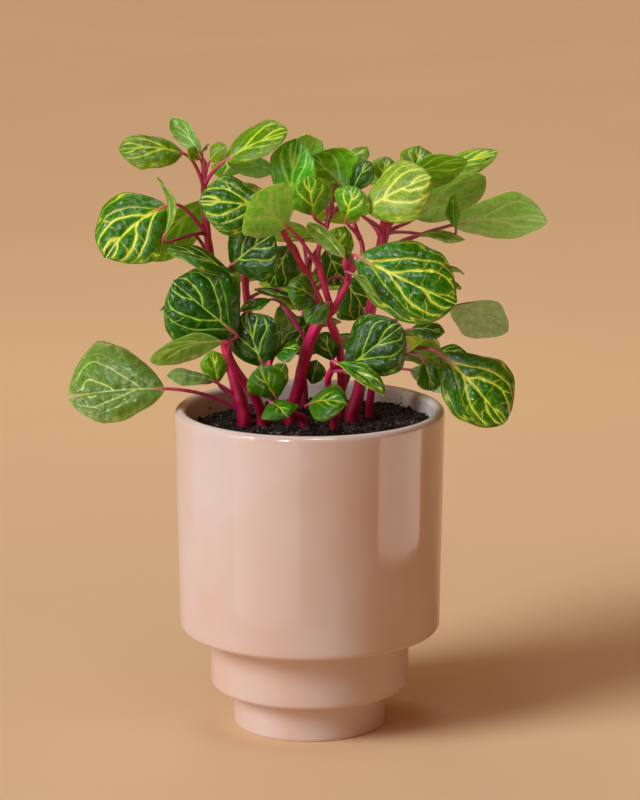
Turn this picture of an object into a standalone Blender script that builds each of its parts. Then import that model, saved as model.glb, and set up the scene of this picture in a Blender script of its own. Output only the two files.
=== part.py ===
"""Potted bloodleaf: a glazed stepped pot filled with soil and planted with leafy stems.

Origin at the middle of the pot's foot, +Z up, the best side towards -Y.
The layout is in millimetres and MM turns it into metres.
"""

import math

import bpy
from mathutils import Vector, noise

MM = 0.001

# Pot: radii, heights and edges
RIM_RADIUS = 67.5
BODY_RADIUS = 65.8
TIER_RADIUS = 50.3
FOOT_RADIUS = 38.8
POT_HEIGHT = 163.0
BODY_BOTTOM = 50.0
TIER_BOTTOM = 20.2
WALL = 5.5
NECK_INSET = 0.9
BODY_EDGE = 2.6
TIER_EDGE = 2.0
FOOT_CHAMFER = 1.0
POT_SIDES = 36

# Soil: gap to the pot, level, rise to the right and roughness of its top
SOIL_GAP = 0.5
SOIL_LEVEL = 152.6
SOIL_RISE = 0.03
SOIL_CRUMB = 1.3
SOIL_SIDES = 24

# Stems: how deep they stand in the soil, where they may start to lean, and the hole round them
STEM_FOOT = 122.0
STEM_LEAN = 158.0
HOLE_GAP = 0.35

# Leaves: blade thickness, stalk radii, reach of the stalk under the blade, lengths of the size classes
BLADE_THICKNESS = 0.75
STALK_RADII = (1.1, 0.8, 0.5)
RIB_REACH = 0.2
SMALL_BLADE = 15.0
LARGE_BLADE = 31.0


def leaf(on, z, base, tip, face, wide, arch=3, fold=8, bow=0, notch=0.04, curl=20, skew=0):
    """One leaf: the shoot that it grows on, the height where its stalk leaves the shoot, the blade's
    base and tip, the way its upper side looks, its width, the rise of its midrib, the angle of its
    halves, the sideways bow, the notch at the tip, the turn of its margins and how much wider one
    half is than the other."""
    return {
        "on": on, "z": z, "base": Vector(base), "tip": Vector(tip), "face": Vector(face),
        "wide": wide, "arch": arch, "fold": fold, "bow": bow, "notch": notch,
        "curl": curl, "skew": skew,
    }


def stem(shoots, leaves):
    """A leafy stem: its shoots as (route, radius at the root, radius at the top), and its leaves."""
    return {"shoots": shoots, "leaves": leaves}


STEMS = {
    "stem_left": stem(
        [([(-33, 6, 158), (-36, 6, 169), (-39, 6, 180), (-44, 7, 201), (-49, 7, 235),
           (-52, 5, 262), (-52, 3, 286)], 3.4, 1.2)],
        [
            leaf(0, 158, (-72, -8, 174), (-120, -14, 171), (0, -8, 6), 46, 3, 10, notch=0.3, skew=0.3),
            leaf(0, 165, (-48, 0, 176), (-71, -4, 180), (0, -5, 9), 13, 2),
            leaf(0, 166, (-46, 5, 174), (-49, 4, 191), (0, -9, 2), 15, 2),
            leaf(0, 254, (-70, -7, 266), (-100, -13, 241), (-3, -9, 3), 42, 3, 8, 2.5),
            leaf(0, 244, (-71, -20, 253), (-75, -20, 282), (-9, -2, 1), 18, -5, 12),
            leaf(0, 252, (-52, 10, 266), (-81, 15, 235), (-3, 8, 5), 29, 3, 5),
            leaf(0, 272, (-62, -2, 291), (-93, -10, 294), (-1, -6, 7), 25, 3, 6),
            leaf(0, 272, (-41, -4, 288), (-11, -10, 303), (-3, -6, 7), 26, 2, 10, skew=-0.25),
            leaf(0, 284, (-54, 3, 291), (-68, 3, 308), (4, 8, 5), 15, 1),
            leaf(0, 284, (-54, 1, 288), (-60, -2, 293), (2, -7, 5), 8, 1),
            leaf(0, 284, (-49, 1, 287), (-41, -2, 295), (-3, -8, 5), 12, 1),
            leaf(0, 284, (-53, 5, 289), (-50, 8, 294), (-1, 3, 8), 6, 1),
            leaf(0, 238, (-58, 20, 247), (-76, 40, 246), (-4, 3, 8), 30),
            leaf(0, 264, (-44, 16, 276), (-33, 38, 283), (1, 2, 9), 24),
            leaf(0, 200, (-52, 20, 212), (-70, 44, 206), (-3, 4, 8), 32),
        ],
    ),
    "stem_left_low": stem(
        [([(-24, 4, 158), (-28, -3, 170), (-36, -10, 183), (-42, -13, 197), (-43, -8, 214),
           (-39, -4, 230), (-37, -5, 236)], 2.6, 1.3)],
        [
            leaf(0, 194, (-36, -15, 203), (-67, -19, 230), (-2, -9, 3), 48, 3, 4),
            leaf(0, 193, (-42, -23, 201), (-78, -33, 194), (-1, 7, 7), 25, 4),
            leaf(0, 228, (-38, -8, 231), (-70, -14, 246), (3, -3, 9), 22, 3, 14),
            leaf(0, 233, (-39, -8, 236), (-18, -15, 253), (0, -9, 4), 37, 3, 8),
        ],
    ),
    "stem_centre": stem(
        [([(-10, 9, 158), (-6, 5, 171), (-1, -2, 194), (5, -6, 208), (12, -8, 215)], 3.2, 2.5),
         ([(11, -8, 213), (7, -8, 227), (4, -7, 241), (8, -5, 254), (11, -2, 266)], 1.7, 1.2),
         ([(11, -8, 213), (16, -12, 223), (19, -15, 231), (17, -20, 240)], 1.7, 1.2),
         ([(18, -14, 230), (26, -9, 243), (22, -8, 257)], 1.4, 1.0)],
        [
            leaf(1, 234, (-11, -16, 257), (-28, -38, 275), (-5, 8, 3), 33, 3),
            leaf(1, 252, (2, -9, 261), (-1, -13, 281), (0, -9, 4), 25, 2),
            leaf(3, 256, (18, -14, 260), (23, -17, 277), (-2, -8, 6), 22, 2),
            leaf(1, 264, (21, 0, 272), (30, 0, 287), (-5, -8, 3), 15, 2),
            leaf(1, 264, (21, 8, 268), (1, 14, 287), (-3, 8, 5), 36, 3),
            leaf(1, 264, (17, 18, 281), (29, 22, 290), (0, -5, 8), 13, 2),
            leaf(1, 264, (0, 16, 282), (-3, 14, 298), (-1, 7, 3), 19, 2),
            leaf(2, 232, (23, -24, 244), (71, -34, 222), (1, -9, 4), 44, 4, 8, 1.5, skew=-0.1),
            leaf(2, 238, (17, -24, 243), (-1, -28, 261), (0, 5, 8), 14, 2),
            leaf(2, 232, (20, -33, 237), (34, -45, 227), (0, 6, 7), 15, 2),
            leaf(0, 212, (3, -16, 220), (-11, -22, 229), (-1, -7, 7), 22, 3),
            leaf(0, 212, (9, -15, 219), (-2, -21, 210), (-3, -8, 5), 15, 2),
            leaf(0, 204, (-2, 0, 214), (-27, 4, 222), (0, 3, 9), 26, 3),
            leaf(0, 192, (-19, -1, 218), (-35, -6, 213), (0, -1, 9), 15, 2),
            leaf(0, 190, (-14, 4, 214), (-10, 8, 200), (3, 8, 3), 14, 2),
            leaf(0, 180, (1, 6, 174), (4, 2, 186), (-1, -9, 3), 13, 2),
        ],
    ),
    "stem_crossing": stem(
        [([(15, 20, 158), (16, 17, 176), (14, 12, 194), (7, 6, 211), (-2, 0, 231), (-8, -3, 243),
           (-14, -6, 256), (-14, -1, 270)], 2.4, 1.2)],
        [
            leaf(0, 254, (-20, -9, 264), (-54, -18, 270), (-1, -8, 6), 34, 3),
            leaf(0, 260, (-9, 1, 262), (-6, -3, 298), (-5, -9, 1), 27, 2, 22),
            leaf(0, 268, (-17, 6, 281), (-41, 9, 286), (0, 7, 7), 20, 2),
            leaf(0, 228, (8, 17, 240), (16, 20, 222), (1, -8, 2), 24),
            leaf(0, 230, (-10, 13, 242), (-20, 16, 222), (0, -8, 2), 26),
            leaf(0, 262, (-10, 16, 268), (-6, 42, 262), (0, 4, 8), 28),
            leaf(0, 218, (17, 10, 226), (29, 12, 206), (2, -8, 2), 27),
            leaf(0, 200, (1, 14, 206), (-9, 17, 187), (-2, -8, 3), 25),
            leaf(0, 178, (12, 13, 184), (6, 11, 199), (-1, -9, 2), 16, 2),
        ],
    ),
    "stem_front": stem(
        [([(-3, -2, 158), (-10, -11, 163), (-18, -21, 171), (-20, -18, 181), (-20, -13, 190)], 1.9, 1.2)],
        [
            leaf(0, 171, (-16, -27, 173), (-25, -31, 190), (-3, -9, 3), 23, 2),
            leaf(0, 171, (-19, -30, 172), (-11, -44, 168), (1, -7, 7), 21, 2),
            leaf(0, 178, (-17, -24, 182), (-12, -27, 191), (0, -9, 4), 9, 1),
            leaf(0, 187, (-23, -12, 186), (-31, -10, 213), (-4, -9, 3), 32, 3),
            leaf(0, 188, (-17, -11, 192), (-5, -15, 197), (1, -5, 8), 18, 2),
            leaf(0, 186, (-24, -4, 194), (-33, 8, 199), (-1, 1, 9), 16, 2),
        ],
    ),
    "stem_front_right": stem(
        [([(12, -5, 158), (11, -10, 169), (9, -18, 181), (13, -26, 191)], 2.1, 1.4)],
        [
            leaf(0, 160, (-1, -31, 171), (18, -43, 175), (0, -7, 7), 23, 3),
            leaf(0, 189, (18, -32, 189), (45, -38, 212), (1, -9, 4), 34, 3, 6),
            leaf(0, 189, (13, -39, 194), (36, -49, 180), (5, -4, 8), 18, 2, 36),
            leaf(0, 184, (17, -25, 186), (36, -30, 179), (0, 3, 9), 14, 2),
        ],
    ),
    "stem_right": stem(
        [([(21, 8, 158), (25, 6, 172), (28, 4, 198), (33, 2, 226), (37, 2, 250),
           (41, 0, 262)], 3.5, 1.7)],
        [
            leaf(0, 250, (27, -16, 265), (59, -25, 283), (0, -8, 6), 34, 3),
            leaf(0, 258, (41, -8, 276), (77, -11, 289), (-2, 7, 7), 27, 3),
            leaf(0, 259, (36, 10, 275), (38, 9, 288), (0, -8, 5), 16, 2),
            leaf(0, 260, (52, 14, 277), (55, 14, 292), (0, -7, 5), 20, 1),
            leaf(0, 260, (62, 15, 276), (93, 15, 290), (0, -6, 8), 17, 2),
            leaf(0, 252, (52, 3, 258), (87, 9, 277), (-4, 8, 5), 30, 3),
            leaf(0, 238, (70, 0, 255), (118, 4, 256), (1, 8, 5), 33, 4, skew=0.3),
            leaf(0, 246, (72, -5, 254), (71, -5, 271), (-8, -5, 0), 12, 1, 26),
            leaf(0, 236, (54, -10, 252), (76, -13, 250), (0, -1, 10), 17, 2),
            leaf(0, 222, (62, 12, 232), (77, 14, 228), (0, 2, 9), 14, 2),
            leaf(0, 196, (70, 4, 213), (99, 8, 200), (2, 7, 6), 34, 4),
            leaf(0, 192, (50, -12, 205), (66, -17, 204), (1, -6, 8), 14, 2),
            leaf(0, 216, (50, 16, 226), (66, 38, 224), (2, 3, 8), 32),
            leaf(0, 246, (48, 20, 262), (58, 46, 262), (1, 4, 8), 30),
        ],
    ),
    "stem_right_low": stem(
        [([(30, 19, 158), (32, 16, 173), (36, 9, 186), (41, 3, 193)], 2.1, 1.4)],
        [
            leaf(0, 190, (65, -11, 192), (96, -25, 160), (4, -9, 3), 41, 4, 8, notch=0.08, skew=-0.15),
            leaf(0, 191, (48, -5, 192), (67, -4, 191), (0, 6, 8), 22, 4),
            leaf(0, 191, (60, 8, 188), (79, 7, 189), (0, -4, 9), 16, 2),
            leaf(0, 190, (57, -10, 188), (61, -13, 174), (2, -9, 1), 14, 1, 22),
            leaf(0, 178, (50, 0, 182), (69, -3, 173), (2, 8, 6), 18, 3),
            leaf(0, 174, (46, 26, 184), (70, 38, 176), (3, 4, 8), 30),
        ],
    ),
    "stem_back_left": stem(
        [([(-18, 32, 158), (-26, 36, 181), (-32, 38, 210), (-34, 38, 240), (-32, 36, 262)], 2.4, 1.2)],
        [
            leaf(0, 180, (-36, 48, 192), (-60, 66, 182), (-4, 5, 8), 34),
            leaf(0, 180, (-20, 54, 190), (-16, 84, 176), (0, 7, 7), 33),
            leaf(0, 210, (-33, 56, 220), (-45, 86, 212), (-2, 7, 7), 34),
            leaf(0, 210, (-16, 38, 216), (0, 30, 210), (1, -6, 7), 20, 2),
            leaf(0, 236, (-48, 48, 252), (-78, 64, 243), (-4, 4, 8), 34),
            leaf(0, 238, (-22, 52, 246), (-4, 70, 238), (3, 6, 7), 30),
            leaf(0, 258, (-36, 52, 266), (-40, 80, 260), (0, 6, 8), 30),
        ],
    ),
    "stem_back_right": stem(
        [([(14, 38, 158), (22, 40, 181), (30, 42, 212), (36, 42, 242), (38, 40, 262)], 2.4, 1.2)],
        [
            leaf(0, 180, (38, 52, 190), (66, 68, 180), (3, 5, 8), 34),
            leaf(0, 182, (23, 58, 188), (22, 88, 174), (0, 7, 7), 33),
            leaf(0, 210, (48, 52, 222), (78, 60, 212), (5, 3, 8), 34),
            leaf(0, 212, (28, 62, 224), (26, 94, 216), (0, 7, 7), 35),
            leaf(0, 240, (52, 56, 254), (78, 76, 248), (4, 5, 8), 34),
            leaf(0, 240, (24, 56, 252), (4, 72, 246), (-3, 6, 7), 30),
            leaf(0, 260, (38, 58, 268), (42, 86, 264), (0, 6, 8), 31),
        ],
    ),
    "stem_back": stem(
        [([(-3, 48, 158), (-4, 54, 181), (-2, 58, 208), (0, 58, 228)], 2.1, 1.2)],
        [
            leaf(0, 182, (-2, 68, 194), (4, 98, 184), (0, 7, 7), 32),
            leaf(0, 206, (-8, 74, 214), (-18, 101, 204), (-1, 6, 7), 29),
            leaf(0, 208, (6, 72, 216), (16, 100, 204), (2, 6, 7), 30),
            leaf(0, 226, (-4, 72, 236), (-8, 100, 230), (0, 6, 8), 30),
            leaf(0, 220, (12, 59, 226), (17, 62, 244), (0, -8, 2), 17, 2),
        ],
    ),
}

# Finishes: base colour and roughness
GLAZE = ((0.80, 0.56, 0.44), 0.18)
EARTH = ((0.02, 0.014, 0.011), 0.95)
LEAF_GREEN = ((0.07, 0.25, 0.03), 0.35)


def material(name, finish):
    colour, roughness = finish
    made = bpy.data.materials.new(name)
    made.use_nodes = True
    shader = made.node_tree.nodes["Principled BSDF"]
    shader.inputs["Base Color"].default_value = (*colour, 1)
    shader.inputs["Roughness"].default_value = roughness
    shader.inputs["Metallic"].default_value = 0
    return made


def add_mesh(name, points, faces, collection=None):
    """A smooth-shaded mesh object with crisp edges, from points in millimetres."""
    mesh = bpy.data.meshes.new(name)
    mesh.from_pydata([Vector(point) * MM for point in points], [], faces)
    mesh.shade_smooth()
    mesh.set_sharp_from_angle(angle=math.radians(40))
    made = bpy.data.objects.new(name, mesh)
    (collection or bpy.context.scene.collection).objects.link(made)
    return made


def new_collection(name):
    made = bpy.data.collections.new(name)
    bpy.context.scene.collection.children.link(made)
    return made


def join(target, others, operation):
    """Applies a Boolean of the target with a collection, and removes the collection's objects."""
    modifier = target.modifiers.new("join", "BOOLEAN")
    modifier.operation = operation
    modifier.operand_type = "COLLECTION"
    modifier.collection = others
    modifier.solver = "MANIFOLD"
    graph = bpy.context.evaluated_depsgraph_get()
    joined = bpy.data.meshes.new_from_object(target.evaluated_get(graph))
    target.modifiers.clear()
    target.data = joined
    for helper in list(others.objects):
        bpy.data.objects.remove(helper)
    bpy.data.collections.remove(others)


def arc(centre, radius, start, end, steps):
    """Points (radius, height) of a rounded edge between two angles in degrees."""
    found = []
    for step in range(steps + 1):
        angle = math.radians(start + (end - start) * step / steps)
        found.append((centre[0] + radius * math.cos(angle), centre[1] + radius * math.sin(angle)))
    return found


def turned(name, profile, sides):
    """A turned solid: the profile runs from the axis below, up the outside and back to the axis."""
    points = [(0, 0, profile[0][1])]
    for radius, height in profile[1:-1]:
        for side in range(sides):
            angle = 2 * math.pi * side / sides
            points.append((radius * math.cos(angle), radius * math.sin(angle), height))
    points.append((0, 0, profile[-1][1]))
    faces = []
    rings = len(profile) - 2
    for side in range(sides):
        after = (side + 1) % sides
        faces.append((0, 1 + after, 1 + side))
        for ring in range(rings - 1):
            low = 1 + ring * sides
            high = low + sides
            faces.append((low + side, low + after, high + after))
            faces.append((low + side, high + after, high + side))
        top = 1 + (rings - 1) * sides
        faces.append((top + side, top + after, len(points) - 1))
    return add_mesh(name, points, faces)


def pot():
    """The pot: a foot, a narrow tier and a wide body that opens slightly towards a rounded rim."""
    lip = WALL / 2
    neck = TIER_RADIUS - NECK_INSET
    profile = [(0, 0), (FOOT_RADIUS - FOOT_CHAMFER, 0), (FOOT_RADIUS, FOOT_CHAMFER)]
    profile += [(FOOT_RADIUS, TIER_BOTTOM)]
    profile += arc((TIER_RADIUS - TIER_EDGE, TIER_BOTTOM + TIER_EDGE), TIER_EDGE, -90, 0, 2)
    profile += [(TIER_RADIUS, BODY_BOTTOM - 2 * NECK_INSET), (neck, BODY_BOTTOM - NECK_INSET)]
    profile += [(neck, BODY_BOTTOM)]
    profile += arc((BODY_RADIUS - BODY_EDGE, BODY_BOTTOM + BODY_EDGE), BODY_EDGE, -90, 0, 3)
    profile += arc((RIM_RADIUS - lip, POT_HEIGHT - lip), lip, 0, 180, 5)
    profile += [(BODY_RADIUS - WALL, BODY_BOTTOM + WALL), (TIER_RADIUS - WALL, BODY_BOTTOM + WALL)]
    profile += [(TIER_RADIUS - WALL, TIER_BOTTOM + WALL), (FOOT_RADIUS - WALL, TIER_BOTTOM + WALL)]
    profile += [(FOOT_RADIUS - WALL, WALL), (0, WALL)]
    made = turned("pot", profile, POT_SIDES)
    made.data.materials.append(material("pot_glaze", GLAZE))


def soil_height(x, y):
    """Height of the soil's top: a slight rise to the right and rough crumbs."""
    rough = noise.noise(Vector((x * 0.11, y * 0.11, 2.0)))
    rough += 0.6 * noise.noise(Vector((x * 0.27, y * 0.27, 7.0)))
    return SOIL_LEVEL + SOIL_RISE * x + SOIL_CRUMB * rough


def soil():
    """The filling: it follows the pot's inner steps, has a rough top and a hole round each stem."""
    gap = SOIL_GAP
    part = (SOIL_LEVEL - BODY_BOTTOM) / (POT_HEIGHT - BODY_BOTTOM)
    rim = BODY_RADIUS - WALL + (RIM_RADIUS - BODY_RADIUS) * part - 2 * gap
    profile = [(0, WALL + gap), (FOOT_RADIUS - WALL - gap, WALL + gap)]
    profile += [(FOOT_RADIUS - WALL - gap, TIER_BOTTOM + WALL + gap)]
    profile += [(TIER_RADIUS - WALL - gap, TIER_BOTTOM + WALL + gap)]
    profile += [(TIER_RADIUS - WALL - gap, BODY_BOTTOM + WALL + gap)]
    profile += [(BODY_RADIUS - WALL - 2 * gap, BODY_BOTTOM + WALL + gap)]
    profile += [(rim * share, SOIL_LEVEL) for share in (1.0, 0.86, 0.7, 0.5, 0.27, 0.0)]
    filling = turned("soil", profile, SOIL_SIDES)
    for vertex in filling.data.vertices:
        if vertex.co.z > (SOIL_LEVEL - 1) * MM:
            vertex.co.z = soil_height(vertex.co.x / MM, vertex.co.y / MM) * MM
    holes = new_collection("stem_holes")
    for name, plant in STEMS.items():
        route, root, _ = plant["shoots"][0]
        x, y, _ = route[0]
        path = [Vector((x, y, z)) for z in (STEM_FOOT - HOLE_GAP, SOIL_LEVEL, POT_HEIGHT)]
        tube(name + "_hole", path, [root + HOLE_GAP] * 3, stem_sides(root), holes)
    join(filling, holes, "DIFFERENCE")
    filling.data.materials.append(material("soil_dark", EARTH))


def smooth_route(points, steps=2):
    """Points along a smooth curve through a route's own points."""
    ends = [points[0] * 2 - points[1]] + points + [points[-1] * 2 - points[-2]]
    found = []
    for index in range(1, len(ends) - 2):
        a, b, c, d = ends[index - 1:index + 3]
        for step in range(steps):
            t = step / steps
            found.append(0.5 * (2 * b + (c - a) * t + (2 * a - 5 * b + 4 * c - d) * t * t
                                + (3 * b - a - 3 * c + d) * t ** 3))
    found.append(points[-1].copy())
    return found


def stem_sides(radius):
    """Sides of the bar that makes a shoot, fewer on a thin one."""
    return 7 if radius > 2.5 else 6


def shoot_path(route, root, top):
    """The points and radii of a shoot. One that stands in the soil has a straight foot."""
    path = smooth_route([Vector(point) for point in route])
    radii = [root + (top - root) * step / (len(path) - 1) for step in range(len(path))]
    if route[0][2] == STEM_LEAN:
        path.insert(0, Vector((route[0][0], route[0][1], STEM_FOOT)))
        radii.insert(0, root)
    return path, radii


def tube(name, path, radii, sides, collection):
    """A closed round bar along a path, with one radius for each point."""
    points = []
    across = Vector((0, 1, 0)) if abs((path[1] - path[0]).normalized().y) < 0.9 else Vector((1, 0, 0))
    for index, point in enumerate(path):
        before = path[max(index - 1, 0)]
        after = path[min(index + 1, len(path) - 1)]
        along = (after - before).normalized()
        across = (across - across.dot(along) * along).normalized()
        other = along.cross(across)
        for side in range(sides):
            angle = 2 * math.pi * side / sides
            points.append(point + radii[index] * (math.cos(angle) * across + math.sin(angle) * other))
    faces = [tuple(reversed(range(sides)))]
    for ring in range(len(path) - 1):
        low = ring * sides
        high = low + sides
        for side in range(sides):
            after = (side + 1) % sides
            faces.append((low + side, low + after, high + after, high + side))
    faces.append(tuple(range(len(points) - sides, len(points))))
    return add_mesh(name, points, faces, collection)


def bezier(a, b, c, d, t):
    s = 1 - t
    return a * s ** 3 + 3 * b * s * s * t + 3 * c * s * t * t + d * t ** 3


def midrib(blade, t):
    """A point of the midrib, with the directions along it, across it and out of the upper side."""
    chord = blade["tip"] - blade["base"]
    straight = chord.normalized()
    out = (blade["face"] - blade["face"].dot(straight) * straight).normalized()
    rise = (out * blade["arch"] + straight.cross(out) * blade["bow"]) * 4 / 3
    first = blade["base"] + chord / 3 + rise
    second = blade["base"] + chord * 2 / 3 + rise
    point = bezier(blade["base"], first, second, blade["tip"], t)
    ahead = bezier(blade["base"], first, second, blade["tip"], t + 0.01)
    along = (ahead - point).normalized()
    out = (out - out.dot(along) * along).normalized()
    return point, along, along.cross(out), out


def half_width(blade, t):
    """Half of the blade's width: a wedge at the base, widest past the middle, blunt at the tip."""
    base_power, tip_power, blunt = 0.75, 0.58, 0.985
    widest = base_power / (base_power + tip_power) / blunt
    top = widest ** base_power * (1 - widest * blunt) ** tip_power
    return blade["wide"] / 2 * t ** base_power * (1 - t * blunt) ** tip_power / top


def blade_point(blade, t, v, side):
    """A point on a blade's upper (1) or lower (-1) skin, at t along it and v across it."""
    shift = blade["notch"] * (1 - abs(v)) * max(0.0, t - 0.7) / 0.3
    point, along, across, out = midrib(blade, t - shift)
    hand = 1 if v >= 0 else -1
    fold = math.radians(blade["fold"])
    turn = math.radians(-2 * blade["curl"])
    angle = fold + turn * abs(v)
    reach = half_width(blade, t) * (1 + blade["skew"] * hand) * (1 + 0.04 * math.sin(9 * t + blade["wide"]))
    aside = hand * reach * (math.sin(angle) - math.sin(fold)) / turn
    rise = reach * (math.cos(fold) - math.cos(angle)) / turn
    rise += 0.5 * v * v * math.sin(8 * t + hand + blade["wide"])
    normal = out * math.cos(angle) - across * hand * math.sin(angle) if v else out
    return point + across * aside + out * rise + normal * (side * BLADE_THICKNESS / 2)


def blade_rows(blade):
    """Where a blade is divided along and across: a small one has fewer divisions."""
    length = (blade["tip"] - blade["base"]).length
    if length < SMALL_BLADE:
        return [0.35, 0.75, 1.0], [-1, 0, 1]
    if length < LARGE_BLADE:
        return [0.24, 0.62, 1.0], [-1, -0.5, 0, 0.5, 1]
    return [0.2, 0.5, 0.8, 1.0], [-1, -0.5, 0, 0.5, 1]


def blade_solid(name, blade, collection):
    """A closed thin blade, split into triangles alike on both skins."""
    rows, columns = blade_rows(blade)
    count = len(columns)
    points = []
    for side in (1, -1):
        points.append(blade_point(blade, 0.0, 0, side))
        for t in rows:
            points.extend(blade_point(blade, t, v, side) for v in columns)
    skin = [(0, 2 + column, 1 + column) for column in range(count - 1)]
    for row in range(len(rows) - 1):
        for column in range(count - 1):
            a = 1 + row * count + column
            b, c, d = a + 1, a + 1 + count, a + count
            if columns[column] < 0:
                skin += [(a, b, c), (a, c, d)]
            else:
                skin += [(a, b, d), (b, c, d)]
    left = [1 + row * count for row in range(len(rows))]
    tip = [left[-1] + column for column in range(1, count - 1)]
    right = [start + count - 1 for start in reversed(left)]
    rim = [0] + left + tip + right
    under = len(points) // 2
    faces = []
    for face in skin:
        faces.append(face)
        faces.append(tuple(index + under for index in reversed(face)))
    for index, start in enumerate(rim):
        end = rim[(index + 1) % len(rim)]
        faces.append((start, end, end + under))
        faces.append((start, end + under, start + under))
    return add_mesh(name, points, faces, collection)


def joint_on(path, z):
    """The point of a shoot nearest to a height, and the way that the shoot grows there."""
    nearest = min(range(1, len(path) - 1), key=lambda index: abs(path[index].z - z))
    return path[nearest], (path[nearest + 1] - path[nearest - 1]).normalized()


def stalk(name, blade, joint, growth, collection):
    """The leaf's stalk, from inside the shoot to the blade's base and on along its midrib."""
    along = midrib(blade, 0.0)[1]
    gap = (blade["base"] - joint).length
    first = joint + (blade["base"] - joint) * 0.3 + growth * gap * 0.12
    second = blade["base"] - along * gap * 0.3
    steps = 3 if gap > 14 else 2
    path = [bezier(joint, first, second, blade["base"], step / steps) for step in range(steps + 1)]
    path.append(midrib(blade, RIB_REACH)[0])
    thick, thin, fine = STALK_RADII
    scale = 0.62 + 0.38 * min(1, blade["wide"] / 30)
    radii = [scale * (thick + (thin - thick) * step / steps) for step in range(steps + 1)]
    radii.append(scale * fine)
    return tube(name, path, radii, 4, collection)


def leafy_stem(name, plant, finish):
    """One node: the shoots, stalks and blades of a stem, joined in one body."""
    pieces = new_collection(name + "_pieces")
    paths = []
    for route, root, top in plant["shoots"]:
        path, radii = shoot_path(route, root, top)
        paths.append(path)
        tube(name, path, radii, stem_sides(root), pieces)
    for blade in plant["leaves"]:
        joint, growth = joint_on(paths[blade["on"]], blade["z"])
        stalk(name + "_stalk", blade, joint, growth, pieces)
        blade_solid(name + "_blade", blade, pieces)
    main_shoot = pieces.objects[0]
    pieces.objects.unlink(main_shoot)
    bpy.context.scene.collection.objects.link(main_shoot)
    join(main_shoot, pieces, "UNION")
    main_shoot.data.materials.clear()
    main_shoot.data.materials.append(finish)


def main():
    for old in list(bpy.data.objects):
        bpy.data.objects.remove(old)
    pot()
    soil()
    finish = material("leaf_green", LEAF_GREEN)
    for name, plant in STEMS.items():
        leafy_stem(name, plant, finish)


main()
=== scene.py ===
import math
import random

import bpy
import numpy as np
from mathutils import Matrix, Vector, noise


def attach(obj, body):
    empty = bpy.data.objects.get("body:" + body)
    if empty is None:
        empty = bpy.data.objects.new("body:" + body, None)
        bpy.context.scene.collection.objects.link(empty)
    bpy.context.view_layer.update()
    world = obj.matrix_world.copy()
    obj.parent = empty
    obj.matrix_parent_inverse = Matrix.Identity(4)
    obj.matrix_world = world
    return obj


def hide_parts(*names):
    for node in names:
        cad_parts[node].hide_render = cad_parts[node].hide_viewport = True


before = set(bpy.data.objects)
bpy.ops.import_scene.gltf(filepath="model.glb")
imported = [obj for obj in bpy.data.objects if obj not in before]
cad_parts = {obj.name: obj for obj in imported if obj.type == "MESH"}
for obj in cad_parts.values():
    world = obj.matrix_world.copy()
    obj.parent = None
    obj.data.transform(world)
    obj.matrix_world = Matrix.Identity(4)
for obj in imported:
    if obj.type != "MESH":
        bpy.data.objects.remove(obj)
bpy.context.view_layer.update()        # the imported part: its pot, soil and leafy stems
print("frame loaded:", len(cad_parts), "nodes")

mm = 0.001               # layouts below are in millimetres, as in the part's own source
rootBody = "root"


# small helpers for meshes and materials

def screenColour(red, green, blue):
    # a colour as seen on screen, 0 to 255, turned into Blender's linear one
    found = []
    for value in (red, green, blue):
        share = value / 255
        found.append(share / 12.92 if share <= 0.04045 else ((share + 0.055) / 1.055) ** 2.4)
    return (*found, 1.0)


def smoothStep(low, high, values):
    share = np.clip((values - low) / (high - low), 0, 1)
    return share * share * (3 - 2 * share)


def addPiece(name, points, faces, material):
    # points in millimetres, as rows of x, y, z
    mesh = bpy.data.meshes.new(name)
    mesh.from_pydata((np.asarray(points, float) * mm).tolist(), [], faces)
    mesh.shade_smooth()
    mesh.materials.append(material)
    piece = bpy.data.objects.new(name, mesh)
    bpy.context.scene.collection.objects.link(piece)
    return piece


def finishPiece(piece, slot, *nodes):
    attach(piece, rootBody)
    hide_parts(*nodes)


def storeOnPoints(piece, name, values):
    attribute = piece.data.attributes.new(name, "FLOAT_VECTOR", "POINT")
    attribute.data.foreach_set("vector", np.asarray(values, np.float32).ravel())


def storeOnCorners(piece, name, values):
    attribute = piece.data.attributes.new(name, "FLOAT_VECTOR", "CORNER")
    attribute.data.foreach_set("vector", np.asarray(values, np.float32).ravel())


def newMaterial(name):
    material = bpy.data.materials.new(name)
    material.use_nodes = True
    return material, material.node_tree, material.node_tree.nodes["Principled BSDF"]


def addNode(tree, kind, sockets=None, **settings):
    node = tree.nodes.new("ShaderNode" + kind)
    for setting, value in settings.items():
        setattr(node, setting, value)
    for socket, value in (sockets or {}).items():
        if isinstance(value, bpy.types.NodeSocket):
            tree.links.new(value, node.inputs[socket])
        else:
            node.inputs[socket].default_value = value
    return node


def calc(tree, operation, *values):
    return addNode(tree, "Math", dict(enumerate(values)), operation=operation).outputs[0]


def remap(tree, value, low, high, newLow=0.0, newHigh=1.0, kind="SMOOTHSTEP"):
    sockets = {"Value": value, "From Min": low, "From Max": high, "To Min": newLow, "To Max": newHigh}
    return addNode(tree, "MapRange", sockets, interpolation_type=kind).outputs["Result"]


def mixColour(tree, share, first, second, blend="MIX"):
    node = addNode(tree, "Mix", {0: share, 6: first, 7: second}, data_type="RGBA", blend_type=blend)
    return node.outputs[2]


def readVector(tree, name):
    # the three numbers of a stored attribute
    place = addNode(tree, "Attribute", attribute_name=name)
    parts = addNode(tree, "SeparateXYZ", {0: place.outputs["Vector"]})
    return parts.outputs


def readColour(tree, name):
    return addNode(tree, "Attribute", attribute_name=name).outputs["Vector"]


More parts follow.
